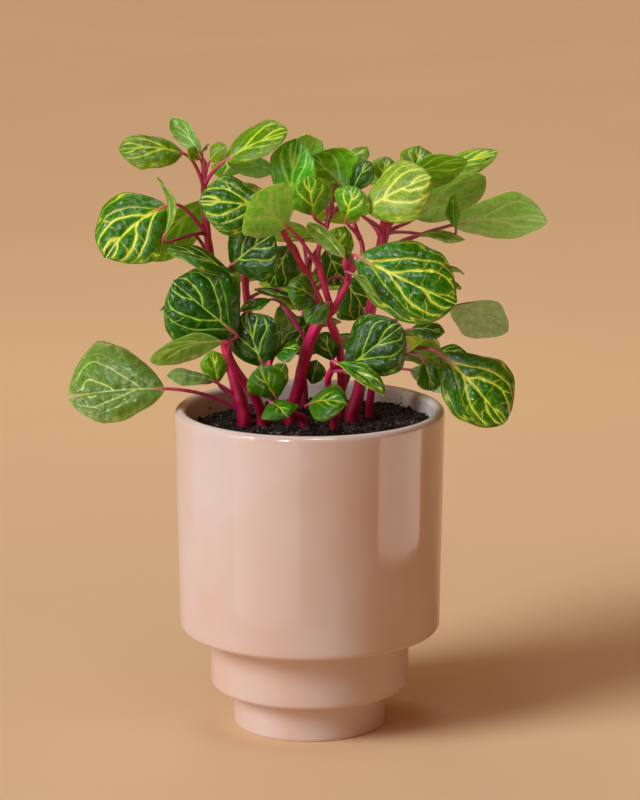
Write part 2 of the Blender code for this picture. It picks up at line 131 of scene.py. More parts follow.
def noiseAt(tree, scale, detail=2.0, roughness=0.5, vector=None, stretch=None):
    # noise in the object's own metres, stretched if asked
    place = vector or addNode(tree, "TexCoord").outputs["Object"]
    if stretch:
        place = addNode(tree, "Mapping", {"Vector": place, "Scale": stretch}).outputs[0]
    sockets = {"Vector": place, "Scale": scale, "Detail": detail, "Roughness": roughness}
    return addNode(tree, "TexNoise", sockets).outputs["Fac"]


def addBump(tree, shader, height, strength, distance):
    sockets = {"Height": height, "Strength": strength, "Distance": distance}
    bump = addNode(tree, "Bump", sockets)
    tree.links.new(bump.outputs["Normal"], shader.inputs["Normal"])


# camera at the photograph's angle, and the studio

cameraPlace = {
    "at": (5.1, -1590.7, 522.1),
    "lookAt": (5.1, 0.0, 166.5),
    "lens": 146.7,
}


def addCamera():
    data = bpy.data.cameras.new("photoCamera")
    data.lens = cameraPlace["lens"]
    camera = bpy.data.objects.new("photoCamera", data)
    bpy.context.scene.collection.objects.link(camera)
    at = Vector(cameraPlace["at"]) * mm
    towards = Vector(cameraPlace["lookAt"]) * mm - at
    camera.location = at
    camera.rotation_euler = towards.to_track_quat("-Z", "Y").to_euler()
    bpy.context.scene.camera = camera


studio = {
    "floorColour": (228, 186, 140),
    "floorFar": (244, 198, 148),
    "floorRadius": 9000,
    "worldColour": (255, 190, 136),
    "worldStrength": 0.22,
    # the key light shines evenly over the whole floor: way to it and height in degrees, softness
    "key": {"bearing": -148, "height": 35, "spread": 26, "strength": 2.9, "colour": (225, 243, 255)},
    "lights": [
        # name, at, looks at, width, height, watts, colour, seen only as a reflection
        ("topSoftbox", (-100, -200, 1500), (20, 0, 160), 500, 400, 1.6, (244, 248, 255), False),
        ("backSoftbox", (-150, 700, 1200), (0, 0, 230), 500, 400, 1.6, (250, 250, 240), False),
        ("lowWindow", (-2580, -1560, 580), (0, 0, 160), 1380, 720, 20, (244, 248, 250), False),
        ("sheenCard", (150, -450, 1250), (0, 0, 230), 320, 160, 5, (240, 250, 255), True),
        ("glintCard", (-480, -1180, 760), (0, 0, 230), 140, 140, 7.5, (240, 246, 255), True),
        ("keyCard", (-1040, -650, 1090), (0, 0, 230), 160, 160, 7, (240, 246, 255), True),
        ("rightCard", (320, -66, 94), (0, 0, 94), 275, 160, 0.3, (255, 240, 232), True),
        ("leftCard", (-150, -214, 62), (0, 0, 62), 270, 150, 0.13, (214, 240, 255), True),
    ],
}


def addLight(name, at, target, width, height, watts, colour, reflectionOnly):
    data = bpy.data.lights.new(name, "AREA")
    data.shape = "RECTANGLE"
    data.size = width * mm
    data.size_y = height * mm
    data.energy = watts
    data.color = screenColour(*colour)[:3]
    light = bpy.data.objects.new(name, data)
    bpy.context.scene.collection.objects.link(light)
    light.location = Vector(at) * mm
    light.rotation_euler = (Vector(target) - Vector(at)).to_track_quat("-Z", "Y").to_euler()
    light.visible_camera = False
    if reflectionOnly:
        light.visible_diffuse = False


def addKey():
    key = studio["key"]
    data = bpy.data.lights.new("keyLight", "SUN")
    data.angle = math.radians(key["spread"])
    data.energy = key["strength"]
    data.color = screenColour(*key["colour"])[:3]
    light = bpy.data.objects.new("keyLight", data)
    bpy.context.scene.collection.objects.link(light)
    bearing, height = math.radians(key["bearing"]), math.radians(key["height"])
    light.location = Vector((math.cos(bearing) * math.cos(height), math.sin(bearing) * math.cos(height),
                             math.sin(height)))
    light.rotation_euler = (-light.location).to_track_quat("-Z", "Y").to_euler()
    light.visible_glossy = False    # so broad a light would veil the leaves: a card gives its glints


def addStudio():
    material, tree, shader = newMaterial("floorPaper")
    place = addNode(tree, "TexCoord").outputs["Object"]
    away = remap(tree, addNode(tree, "SeparateXYZ", {0: place}).outputs[1], 0.1, 0.9)
    shade = remap(tree, noiseAt(tree, 3.0, 3.0), 0.3, 0.7, 0.985, 1.01)
    colour = mixColour(tree, away, screenColour(*studio["floorColour"]), screenColour(*studio["floorFar"]))
    colour = mixColour(tree, 1.0, colour, shade, "MULTIPLY")
    tree.links.new(colour, shader.inputs["Base Color"])
    shader.inputs["Roughness"].default_value = 0.85
    rim = 96
    points = [(0, 0, 0)]
    for step in range(rim):
        angle = 2 * math.pi * step / rim
        points.append((studio["floorRadius"] * math.cos(angle), studio["floorRadius"] * math.sin(angle), 0))
    faces = [(0, 1 + step, 1 + (step + 1) % rim) for step in range(rim)]
    floor = addPiece("studioFloor", points, faces, material)
    world = bpy.data.worlds.new("studioWorld")
    world.use_nodes = True
    background = world.node_tree.nodes["Background"]
    background.inputs["Color"].default_value = screenColour(*studio["worldColour"])
    background.inputs["Strength"].default_value = studio["worldStrength"]
    bpy.context.scene.world = world
    addKey()
    for light in studio["lights"]:
        addLight(*light)
    bpy.context.scene.view_settings.view_transform = "Standard"


addCamera()
addStudio()
print("camera, floor and lights are in place")


# pot: one turned, glazed piece

potShape = {
    "rimRadius": 67.5, "bodyRadius": 65.8, "tierRadius": 50.3, "footRadius": 38.8,
    "height": 163.0, "bodyBottom": 50.0, "tierBottom": 20.2, "wall": 5.5,
    "neckInset": 0.9, "bodyEdge": 2.6, "tierEdge": 2.0, "footChamfer": 1.0,
    "sides": 180, "wobble": 0.12,
}

glazeLook = {
    "thick": (214, 190, 181),
    "thin": (212, 177, 159),
    # painted light: the inner wall and lip are painted nearly white, for the light that falls on them
    "inside": (253, 234, 220),
    "clay": (228, 196, 172),
    "speck": (112, 70, 50),
    "roughness": 0.1,
}


def arcPoints(centreRadius, centreHeight, radius, start, end, steps):
    found = []
    for step in range(steps + 1):
        angle = math.radians(start + (end - start) * step / steps)
        found.append((centreRadius + radius * math.cos(angle), centreHeight + radius * math.sin(angle)))
    return found


def straight(start, end, steps):
    return [(start[0] + (end[0] - start[0]) * step / steps, start[1] + (end[1] - start[1]) * step / steps)
            for step in range(steps + 1)]


def potProfile():
    # radius and height, from the foot's middle up the outside, over the lip and down inside
    p = potShape
    lip = p["wall"] / 2
    neck = p["tierRadius"] - p["neckInset"]
    inner = {name: p[name + "Radius"] - p["wall"] for name in ("body", "tier", "foot")}
    profile = straight((4, 0.25), (p["footRadius"] - 4, 0.25), 5)
    profile += [(p["footRadius"] - 3, 0)]
    profile += arcPoints(p["footRadius"] - p["footChamfer"], p["footChamfer"], p["footChamfer"], -90, 0, 4)
    profile += straight((p["footRadius"], 3), (p["footRadius"], p["tierBottom"] - 1.2), 6)
    profile += arcPoints(p["footRadius"] + 1.2, p["tierBottom"] - 1.2, 1.2, 180, 90, 4)
    tierEdge = p["tierEdge"]
    profile += arcPoints(p["tierRadius"] - tierEdge, p["tierBottom"] + tierEdge, tierEdge, -90, 0, 6)
    profile += straight((p["tierRadius"], p["tierBottom"] + 5), (p["tierRadius"], p["bodyBottom"] - 5), 8)
    profile += [(p["tierRadius"] - 0.1, p["bodyBottom"] - 3), (neck + 0.35, p["bodyBottom"] - 1.7)]
    profile += arcPoints(neck + 0.9, p["bodyBottom"] - 0.9, 0.9, 180, 90, 3)
    bodyEdge = p["bodyEdge"]
    profile += arcPoints(p["bodyRadius"] - bodyEdge, p["bodyBottom"] + bodyEdge, bodyEdge, -90, 0, 8)
    profile += straight((p["bodyRadius"], p["bodyBottom"] + 6), (p["rimRadius"], p["height"] - 6), 24)
    profile += arcPoints(p["rimRadius"] - lip, p["height"] - lip, lip, 0, 180, 12)
    profile += straight((p["rimRadius"] - p["wall"], p["height"] - 6),
                        (inner["body"], p["bodyBottom"] + p["wall"] + 2), 16)
    profile += [(inner["body"] - 2, p["bodyBottom"] + p["wall"]), (inner["tier"], p["bodyBottom"] + p["wall"])]
    profile += [(inner["tier"], p["tierBottom"] + p["wall"]), (inner["foot"], p["tierBottom"] + p["wall"])]
    profile += [(inner["foot"], p["wall"]), (4, p["wall"])]
    return profile


def turnedPoints(profile, sides, wobble):
    points = []
    for radius, height in profile:
        for side in range(sides):
            angle = 2 * math.pi * side / sides
            near = Vector((math.cos(angle) * 1.4, math.sin(angle) * 1.4, height * 0.012))
            reach = radius + wobble * noise.noise(near) * min(1.0, height / 10)
            points.append((reach * math.cos(angle), reach * math.sin(angle), height))
    return points


def turnedFaces(rings, sides):
    faces = []
    for ring in range(rings - 1):
        low = ring * sides
        for side in range(sides):
            after = (side + 1) % sides
            faces.append((low + side, low + after, low + sides + after, low + sides + side))
    faces.append(tuple(reversed(range(sides))))
    faces.append(tuple(range((rings - 1) * sides, rings * sides)))
    return faces


def glazeMaterial():
    material, tree, shader = newMaterial("peachGlaze")
    look = glazeLook
    place = addNode(tree, "TexCoord").outputs["Object"]
    height = addNode(tree, "SeparateXYZ", {0: place}).outputs[2]
    cloud = noiseAt(tree, 14.0, 4.0, 0.55, place)
    run = noiseAt(tree, 30.0, 3.0, 0.5, place, (1.0, 1.0, 0.18))
    patchy = calc(tree, "ADD", calc(tree, "MULTIPLY", cloud, 0.6), calc(tree, "MULTIPLY", run, 0.4))
    colour = mixColour(tree, remap(tree, patchy, 0.38, 0.66), screenColour(*look["thin"]),
                       screenColour(*look["thick"]))
    # the glaze runs thin over the lower edges of the tier and the body
    edges = None
    for level, reach in ((potShape["tierBottom"], 0.9), (potShape["bodyBottom"], 1.1)):
        away = calc(tree, "ABSOLUTE", calc(tree, "SUBTRACT", height, (level + 1.6) * mm))
        near = remap(tree, away, 0.0, 3 * reach * mm, 0.55, 0.0)
        edges = near if edges is None else calc(tree, "MAXIMUM", edges, near)
    colour = mixColour(tree, edges, colour, screenColour(*look["thin"]))
    # painted light: inside and over the lip the glaze is painted nearly white, for the light that falls on the inner
    # wall
    flat = addNode(tree, "VectorMath", {0: place, 1: (1.0, 1.0, 0.0)}, operation="MULTIPLY").outputs[0]
    outward = addNode(tree, "VectorMath", {0: flat}, operation="LENGTH").outputs["Value"]
    middle = potShape["rimRadius"] - potShape["wall"] / 2
    inner = remap(tree, outward, (middle - 0.8) * mm, (middle + 2.0) * mm, 1.0, 0.0)
    inner = calc(tree, "MULTIPLY", inner, remap(tree, height, 120 * mm, 130 * mm))
    colour = mixColour(tree, inner, colour, screenColour(*look["inside"]))
    pits = addNode(tree, "TexVoronoi", {"Vector": place, "Scale": 55.0, "Randomness": 1.0})
    chosen = remap(tree, addNode(tree, "SeparateXYZ", {0: pits.outputs["Color"]}).outputs[0], 0.955, 0.96)
    pit = calc(tree, "MULTIPLY", remap(tree, pits.outputs["Distance"], 0.03, 0.05, 1.0, 0.0), chosen)
    colour = mixColour(tree, calc(tree, "MULTIPLY", pit, 0.8), colour, screenColour(*look["speck"]))
    bare = remap(tree, height, 0.3 * mm, 0.9 * mm, 1.0, 0.0)
    colour = mixColour(tree, bare, colour, screenColour(*look["clay"]))
    tree.links.new(colour, shader.inputs["Base Color"])
    rough = calc(tree, "ADD", look["roughness"], calc(tree, "MULTIPLY", bare, 0.6))
    tree.links.new(calc(tree, "ADD", rough, remap(tree, cloud, 0.3, 0.7, 0.0, 0.05)), shader.inputs["Roughness"])
    waves = noiseAt(tree, 22.0, 2.0, 0.4, place, (1.0, 1.0, 0.6))
    peel = noiseAt(tree, 420.0, 1.0, 0.4, place)
    relief = calc(tree, "ADD", waves, calc(tree, "MULTIPLY", peel, 0.03))
    addBump(tree, shader, calc(tree, "SUBTRACT", relief, calc(tree, "MULTIPLY", pit, 0.4)), 0.35, 0.9 * mm)
    return material


def buildPot():
    profile = potProfile()
    points = turnedPoints(profile, potShape["sides"], potShape["wobble"])
    pot = addPiece("glazed_pot", points, turnedFaces(len(profile), potShape["sides"]), glazeMaterial())
    finishPiece(pot, "glaze", "pot")


buildPot()
print("pot glazed")


# soil: a crumbly dark mix with clods on top and specks on the wall above it

soilShape = {
    "level": 152.6, "rise": 0.03, "crumb": 1.3, "gap": 0.5, "fineCrumb": 0.55,
    "sides": 150, "rings": 64, "clods": 5200, "clodSize": (0.35, 1.7), "specks": 40, "seed": 4,
}

soilLook = {
    "dark": (21, 14, 13),
    "light": (104, 80, 74),
    "fibre": (158, 126, 108),
}


def soilHeight(x, y):
    rough = noise.noise(Vector((x * 0.11, y * 0.11, 2.0)))
    rough += 0.6 * noise.noise(Vector((x * 0.27, y * 0.27, 7.0)))
    return soilShape["level"] + soilShape["rise"] * x + soilShape["crumb"] * rough


def wallRadius(z):
    share = (z - potShape["bodyBottom"]) / (potShape["height"] - potShape["bodyBottom"])
    return potShape["bodyRadius"] - potShape["wall"] + (potShape["rimRadius"] - potShape["bodyRadius"]) * share


def soilTop():
    # rings of the crumbly top from the middle out, then down the wall to the rest of the filling
    s = soilShape
    rim = wallRadius(s["level"]) - 2 * s["gap"]
    points = []
    for ring in range(s["rings"]):
        radius = rim * (ring + 0.5) / (s["rings"] - 0.5)
        for side in range(s["sides"]):
            angle = 2 * math.pi * (side + 0.5 * (ring % 2)) / s["sides"]
            x = radius * math.cos(angle)
            y = radius * math.sin(angle)
            fine = noise.noise(Vector((x * 0.7, y * 0.7, 3.0))) + 0.7 * noise.noise(Vector((x * 1.7, y * 1.7, 5.0)))
            points.append((x, y, soilHeight(x, y) + s["fineCrumb"] * fine * (1 - (radius / rim) ** 8)))
    wall = potShape["wall"] + s["gap"]
    steps = [(rim, s["level"] - 6), (potShape["bodyRadius"] - wall - s["gap"], potShape["bodyBottom"] + wall)]
    for name, low in (("tierRadius", "tierBottom"), ("footRadius", None)):
        reach = potShape[name] - wall
        steps += [(reach, steps[-1][1]), (reach, (potShape[low] if low else 0) + wall)]
    for radius, height in steps:
        for side in range(s["sides"]):
            angle = 2 * math.pi * side / s["sides"]
            points.append((radius * math.cos(angle), radius * math.sin(angle), height))
    rings = s["rings"] + len(steps)
    return points, [tuple(reversed(face)) for face in turnedFaces(rings, s["sides"])]


def clodForm(randomly):
    # a rough lump: an icosahedron with pushed corners
    golden = (1 + math.sqrt(5)) / 2
    corners = []
    for a in (-1, 1):
        for b in (-golden, golden):
            corners += [(0, a, b), (a, b, 0), (b, 0, a)]
    corners = np.array(corners) / math.hypot(1, golden)
    faces = []
    for first in range(12):
        for second in range(12):
            for third in range(12):
                trio = (first, second, third)
                if min(trio) == first and len(set(trio)) == 3 and isLumpFace(corners, trio):
                    faces.append(trio)
    pushed = corners * np.array([[randomly.uniform(0.7, 1.25)] for _ in corners])
    return pushed, faces


def isLumpFace(corners, trio):
    a, b, c = (corners[index] for index in trio)
    side = max(np.linalg.norm(a - b), np.linalg.norm(b - c), np.linalg.norm(c - a))
    return side < 1.1 and np.dot(np.cross(b - a, c - a), a) > 0


def buildSoil():
    s = soilShape
    randomly = random.Random(s["seed"])
    points, faces = soilTop()
    forms = [clodForm(randomly) for _ in range(12)]
    stemSpots = [plant["shoots"][0] for plant in stems.values()]
    made = 0
    while made < s["clods"] + s["specks"]:
        onWall = made >= s["clods"]
        small, large = s["clodSize"]
        size = small + (large - small) * randomly.random() ** 3
        if onWall:
            size *= 0.45
            angle = math.radians(randomly.gauss(55, 40))
            z = s["level"] + 1.5 + 6 * randomly.random() ** 2
            radius = wallRadius(z) - 0.3 * size
            spot = (radius * math.cos(angle), radius * math.sin(angle), z)
        else:
            angle = randomly.uniform(0, 2 * math.pi)
            radius = (wallRadius(s["level"]) - 1.6) * math.sqrt(randomly.random())
            x = radius * math.cos(angle)
            y = radius * math.sin(angle)
            if any(math.hypot(x - route[0][0], y - route[0][1]) < root + size for route, root, _ in stemSpots):
                continue
            spot = (x, y, soilHeight(x, y) + randomly.uniform(-0.1, 0.5) * size)
        form, lump = randomly.choice(forms)
        turn = np.array(Vector((1, 0, 0)).rotation_difference(
            Vector([randomly.gauss(0, 1) for _ in range(3)])).to_matrix())
        start = len(points)
        points.extend((form @ turn * size + np.array(spot)).tolist())
        faces.extend(tuple(index + start for index in face) for face in lump)
        made += 1
    soil = addPiece("crumbly_soil", points, faces, soilMaterial())
    finishPiece(soil, "soil", "soil")


def soilMaterial():
    material, tree, shader = newMaterial("pottingSoil")
    place = addNode(tree, "TexCoord").outputs["Object"]
    grain = noiseAt(tree, 700.0, 3.0, 0.6, place)
    patches = noiseAt(tree, 120.0, 3.0, 0.6, place)
    both = calc(tree, "MULTIPLY", calc(tree, "ADD", grain, patches), 0.5)
    colour = mixColour(tree, remap(tree, both, 0.42, 0.7), screenColour(*soilLook["dark"]),
                       screenColour(*soilLook["light"]))
    cells = addNode(tree, "TexVoronoi", {"Vector": place, "Scale": 900.0})
    pick = addNode(tree, "SeparateXYZ", {0: cells.outputs["Color"]}).outputs[0]
    colour = mixColour(tree, calc(tree, "MULTIPLY", remap(tree, pick, 0.95, 0.97), 0.6), colour,
                       screenColour(*soilLook["fibre"]))
    tree.links.new(colour, shader.inputs["Base Color"])
    tree.links.new(remap(tree, grain, 0.3, 0.7, 0.7, 0.95), shader.inputs["Roughness"])
    shader.inputs["Specular IOR Level"].default_value = 0.25
    addBump(tree, shader, calc(tree, "ADD", grain, patches), 0.8, 0.7 * mm)
    return material


# leafy stems: where each shoot runs and each leaf sits, as in the part's own source

def leaf(look, on, z, base, tip, face, wide, arch=3, fold=8, bow=0, notch=0.0, curl=20, skew=0):
    # look, shoot, height of the stalk's joint, blade base and tip, way the upper side faces, width
    return {
        "look": look, "on": on, "z": z, "base": np.array(base, float), "tip": np.array(tip, float),
        "face": np.array(face, float), "wide": wide, "arch": arch, "fold": fold, "bow": bow,
        "notch": notch, "curl": curl, "skew": skew,
    }


def stem(shoots, leaves):
    # shoots as route, radius at the root and radius at the top
    return {"shoots": shoots, "leaves": leaves}


stems = {
    "stem_left": stem(
        [([(-33, 6, 158), (-36, 6, 169), (-39, 6, 180), (-44, 7, 201), (-49, 7, 235),
           (-52, 5, 262), (-52, 3, 286)], 3.4, 1.2)],
        [
            leaf("mist", 0, 158, (-72, -8, 174), (-120, -14, 171), (0, -8, 6), 46, 3, 10, notch=0.3, skew=0.3),
            leaf("grey", 0, 165, (-48, 0, 176), (-71, -4, 180), (0, -5, 9), 13, 2),
            leaf("fresh", 0, 166, (-46, 5, 174), (-49, 4, 191), (0, -9, 2), 15, 2),
            leaf("bold", 0, 254, (-70, -7, 266), (-100, -13, 241), (-3, -9, 3), 42, 3, 8, 2.5),
            leaf("edge", 0, 244, (-71, -20, 253), (-75, -20, 282), (-9, -2, 1), 18, -5, 12),
            leaf("olive", 0, 252, (-52, 10, 266), (-81, 15, 235), (-3, 8, 5), 29, 3, 5),
            leaf("lime", 0, 272, (-62, -2, 291), (-93, -10, 294), (-1, -6, 7), 25, 3, 6),
            leaf("lime", 0, 272, (-41, -4, 288), (-11, -10, 303), (-3, -6, 7), 26, 2, 10, skew=-0.25),
            leaf("pale", 0, 284, (-54, 3, 291), (-68, 3, 308), (4, 8, 5), 15, 1),
            leaf("bud", 0, 284, (-54, 1, 288), (-60, -2, 293), (2, -7, 5), 8, 1),
            leaf("bud", 0, 284, (-49, 1, 287), (-41, -2, 295), (-3, -8, 5), 12, 1),
            leaf("bud", 0, 284, (-53, 5, 289), (-50, 8, 294), (-1, 3, 8), 6, 1),
            leaf("deep", 0, 238, (-58, 20, 247), (-76, 40, 246), (-4, 3, 8), 30),
            leaf("fresh", 0, 264, (-44, 16, 276), (-33, 38, 283), (1, 2, 9), 24),
            leaf("deep", 0, 200, (-52, 20, 212), (-70, 44, 206), (-3, 4, 8), 32),
        ],
    ),
    "stem_left_low": stem(
        [([(-24, 4, 158), (-28, -3, 170), (-36, -10, 183), (-42, -13, 197), (-43, -8, 214),
           (-39, -4, 230), (-37, -5, 236)], 2.6, 1.3)],
        [
            leaf("deep2", 0, 194, (-36, -15, 203), (-67, -19, 230), (-2, -9, 3), 48, 3, 4),
            leaf("pale", 0, 193, (-42, -23, 201), (-78, -33, 194), (-1, 7, 7), 25, 4),
            leaf("deep", 0, 228, (-38, -8, 231), (-70, -14, 246), (3, -3, 9), 22, 3, 14),
            leaf("gloss", 0, 233, (-39, -8, 236), (-18, -15, 253), (0, -9, 4), 37, 3, 8),
        ],
    ),
    "stem_centre": stem(
        [([(-10, 9, 158), (-6, 5, 171), (-1, -2, 194), (5, -6, 208), (12, -8, 215)], 3.2, 2.5),
         ([(11, -8, 213), (7, -8, 227), (4, -7, 241), (8, -5, 254), (11, -2, 266)], 1.7, 1.2),
         ([(11, -8, 213), (16, -12, 223), (19, -15, 231), (17, -20, 240)], 1.7, 1.2),
         ([(18, -14, 230), (26, -9, 243), (22, -8, 257)], 1.4, 1.0)],
        [
            leaf("glow", 1, 234, (-11, -16, 257), (-28, -38, 275), (-5, 8, 3), 33, 3),
            leaf("fresh", 1, 252, (2, -9, 261), (-1, -13, 281), (0, -9, 4), 25, 2),
            leaf("fresh", 3, 256, (18, -14, 260), (23, -17, 277), (-2, -8, 6), 22, 2),
            leaf("gloss", 1, 264, (21, 0, 272), (30, 0, 287), (-5, -8, 3), 15, 2),
            leaf("olive", 1, 264, (21, 8, 268), (1, 14, 287), (-3, 8, 5), 36, 3),
            leaf("lime", 1, 264, (17, 18, 281), (29, 22, 290), (0, -5, 8), 13, 2),
            leaf("fresh", 1, 264, (0, 16, 282), (-3, 14, 298), (-1, 7, 3), 19, 2),
            leaf("bold", 2, 232, (23, -24, 244), (71, -34, 222), (1, -9, 4), 44, 4, 8, 1.5, skew=-0.1),
            leaf("mist", 2, 238, (17, -24, 243), (-1, -28, 261), (0, 5, 8), 14, 2),
            leaf("mist", 2, 232, (20, -33, 237), (34, -45, 227), (0, 6, 7), 15, 2),
            leaf("curl", 0, 212, (3, -16, 220), (-11, -22, 229), (-1, -7, 7), 22, 3),
            leaf("curl", 0, 212, (9, -15, 219), (-2, -21, 210), (-3, -8, 5), 15, 2),
            leaf("deep", 0, 204, (-2, 0, 214), (-27, 4, 222), (0, 3, 9), 26, 3),
            leaf("deep", 0, 192, (-19, -1, 218), (-35, -6, 213), (0, -1, 9), 15, 2),
            leaf("pale", 0, 190, (-14, 4, 214), (-10, 8, 200), (3, 8, 3), 14, 2),
            leaf("deep", 0, 180, (1, 6, 174), (4, 2, 186), (-1, -9, 3), 13, 2),
        ],
    ),
    "stem_crossing": stem(
        [([(15, 20, 158), (16, 17, 176), (14, 12, 194), (7, 6, 211), (-2, 0, 231), (-8, -3, 243),
           (-14, -6, 256), (-14, -1, 270)], 2.4, 1.2)],
        [
            leaf("bold", 0, 254, (-20, -9, 264), (-54, -18, 270), (-1, -8, 6), 34, 3),
            leaf("fold", 0, 260, (-9, 1, 262), (-6, -3, 298), (-5, -9, 1), 27, 2, 22),
            leaf("deepunder", 0, 268, (-17, 6, 281), (-41, 9, 286), (0, 7, 7), 20, 2),
            leaf("deep", 0, 228, (8, 17, 240), (16, 20, 222), (1, -8, 2), 24),
            leaf("deep", 0, 230, (-10, 13, 242), (-20, 16, 222), (0, -8, 2), 26),
            leaf("deep", 0, 262, (-10, 16, 268), (-6, 42, 262), (0, 4, 8), 28),
            leaf("deep", 0, 218, (17, 10, 226), (29, 12, 206), (2, -8, 2), 27),
            leaf("deep", 0, 200, (1, 14, 206), (-9, 17, 187), (-2, -8, 3), 25),
            leaf("deep", 0, 178, (12, 13, 184), (6, 11, 199), (-1, -9, 2), 16, 2),
        ],
    ),
    "stem_front": stem(
        [([(-3, -2, 158), (-10, -11, 163), (-18, -21, 171), (-20, -18, 181), (-20, -13, 190)], 1.9, 1.2)],
        [
            leaf("curl", 0, 171, (-16, -27, 173), (-25, -31, 190), (-3, -9, 3), 23, 2),
            leaf("curl", 0, 171, (-19, -30, 172), (-11, -44, 168), (1, -7, 7), 21, 2),
            leaf("curl", 0, 178, (-17, -24, 182), (-12, -27, 191), (0, -9, 4), 9, 1),
            leaf("gloss", 0, 187, (-23, -12, 186), (-31, -10, 213), (-4, -9, 3), 32, 3),
            leaf("deep", 0, 188, (-17, -11, 192), (-5, -15, 197), (1, -5, 8), 18, 2),
            leaf("deep", 0, 186, (-24, -4, 194), (-33, 8, 199), (-1, 1, 9), 16, 2),
        ],
    ),
    "stem_front_right": stem(
        [([(12, -5, 158), (11, -10, 169), (9, -18, 181), (13, -26, 191)], 2.1, 1.4)],
        [
            leaf("curl", 0, 160, (-1, -31, 171), (18, -43, 175), (0, -7, 7), 23, 3),
            leaf("gloss", 0, 189, (18, -32, 189), (45, -38, 212), (1, -9, 4), 34, 3, 6),
            leaf("bold", 0, 189, (13, -39, 194), (36, -49, 180), (5, -4, 8), 18, 2, 36),
            leaf("deep", 0, 184, (17, -25, 186), (36, -30, 179), (0, 3, 9), 14, 2),
        ],
    ),
    "stem_right": stem(
        [([(21, 8, 158), (25, 6, 172), (28, 4, 198), (33, 2, 226), (37, 2, 250),
           (41, 0, 262)], 3.5, 1.7)],
        [
            leaf("glow", 0, 250, (27, -16, 265), (59, -25, 283), (0, -8, 6), 34, 3),
            leaf("olive", 0, 258, (41, -8, 276), (77, -11, 289), (-2, 7, 7), 27, 3),
            leaf("lime", 0, 259, (36, 10, 275), (38, 9, 288), (0, -8, 5), 16, 2),
            leaf("lime", 0, 260, (52, 14, 277), (55, 14, 292), (0, -7, 5), 20, 1),
            leaf("bright", 0, 260, (62, 15, 276), (93, 15, 290), (0, -6, 8), 17, 2),
            leaf("cream", 0, 252, (52, 3, 258), (87, 9, 277), (-4, 8, 5), 30, 3),
            leaf("cream", 0, 238, (70, 0, 255), (117.3, 4, 256), (1, 8, 5), 33, 4, skew=0.3),
            leaf("fold", 0, 246, (72, -5, 254), (71, -5, 271), (-8, -5, 0), 12, 1, 26),
            leaf("edge", 0, 236, (54, -10, 252), (76, -13, 250), (0, -1, 10), 17, 2),
            leaf("cream", 0, 222, (62, 12, 232), (77, 14, 228), (0, 2, 9), 14, 2),
            leaf("brown", 0, 196, (70, 4, 213), (99, 8, 200), (2, 7, 6), 34, 4),
            leaf("deep", 0, 192, (50, -12, 205), (66, -17, 204), (1, -6, 8), 14, 2),
            leaf("deep", 0, 216, (50, 16, 226), (66, 38, 224), (2, 3, 8), 32),
            leaf("fresh", 0, 246, (48, 20, 262), (58, 46, 262), (1, 4, 8), 30),
        ],
    ),
    "stem_right_low": stem(
        [([(30, 19, 158), (32, 16, 173), (36, 9, 186), (41, 3, 193)], 2.1, 1.4)],
        [
            leaf("bold", 0, 190, (65, -11, 192), (96, -25, 160), (4, -9, 3), 41, 4, 8, skew=-0.15),
            leaf("fresh", 0, 191, (48, -5, 192), (67, -4, 191), (0, 6, 8), 22, 4),
            leaf("deep", 0, 191, (60, 8, 188), (79, 7, 189), (0, -4, 9), 16, 2),
            leaf("deep", 0, 190, (57, -10, 188), (61, -13, 174), (2, -9, 1), 14, 1, 22),
            leaf("brown", 0, 178, (50, 0, 182), (69, -3, 173), (2, 8, 6), 18, 3),
            leaf("deep", 0, 174, (46, 26, 184), (70, 38, 176), (3, 4, 8), 30),
        ],
    ),
    "stem_back_left": stem(
        [([(-18, 32, 158), (-26, 36, 181), (-32, 38, 210), (-34, 38, 240), (-32, 36, 262)], 2.4, 1.2)],
        [
            leaf("deep", 0, 180, (-36, 48, 192), (-60, 66, 182), (-4, 5, 8), 34),
            leaf("bold", 0, 180, (-20, 54, 190), (-16, 84, 176), (0, 7, 7), 33),
            leaf("deep", 0, 210, (-33, 56, 220), (-45, 86, 212), (-2, 7, 7), 34),
            leaf("fresh", 0, 210, (-16, 38, 216), (0, 30, 210), (1, -6, 7), 20, 2),
            leaf("bold", 0, 236, (-48, 48, 252), (-78, 64, 243), (-4, 4, 8), 34),
            leaf("fresh", 0, 238, (-22, 52, 246), (-4, 70, 238), (3, 6, 7), 30),
            leaf("lime", 0, 258, (-36, 52, 266), (-40, 80, 260), (0, 6, 8), 30),
        ],
    ),
    "stem_back_right": stem(
        [([(14, 38, 158), (22, 40, 181), (30, 42, 212), (36, 42, 242), (38, 40, 262)], 2.4, 1.2)],
        [
            leaf("bold", 0, 180, (38, 52, 190), (66, 68, 180), (3, 5, 8), 34),
            leaf("deep", 0, 182, (23, 58, 188), (22, 88, 174), (0, 7, 7), 33),
            leaf("bold", 0, 210, (48, 52, 222), (78, 60, 212), (5, 3, 8), 34),
            leaf("deep", 0, 212, (28, 62, 224), (26, 94, 216), (0, 7, 7), 35),
            leaf("fresh", 0, 240, (52, 56, 254), (78, 76, 248), (4, 5, 8), 34),
            leaf("bold", 0, 240, (24, 56, 252), (4, 72, 246), (-3, 6, 7), 30),
            leaf("lime", 0, 260, (38, 58, 268), (42, 86, 264), (0, 6, 8), 31),
        ],
    ),
    "stem_back": stem(
        [([(-3, 48, 158), (-4, 54, 181), (-2, 58, 208), (0, 58, 228)], 2.1, 1.2)],
        [
            leaf("deep", 0, 182, (-2, 68, 194), (4, 98, 184), (0, 7, 7), 32),
            leaf("fresh", 0, 206, (-8, 74, 214), (-18, 101, 204), (-1, 6, 7), 29),
            leaf("bold", 0, 208, (6, 72, 216), (16, 100, 204), (2, 6, 7), 30),
            leaf("lime", 0, 226, (-4, 72, 236), (-8, 100, 230), (0, 6, 8), 30),
            leaf("fresh", 0, 220, (12, 59, 226), (17, 62, 244), (0, -8, 2), 17, 2),
        ],
    ),
}

buildSoil()
print("soil filled")


# leaves: a blade's form, the course of its veins and its colours

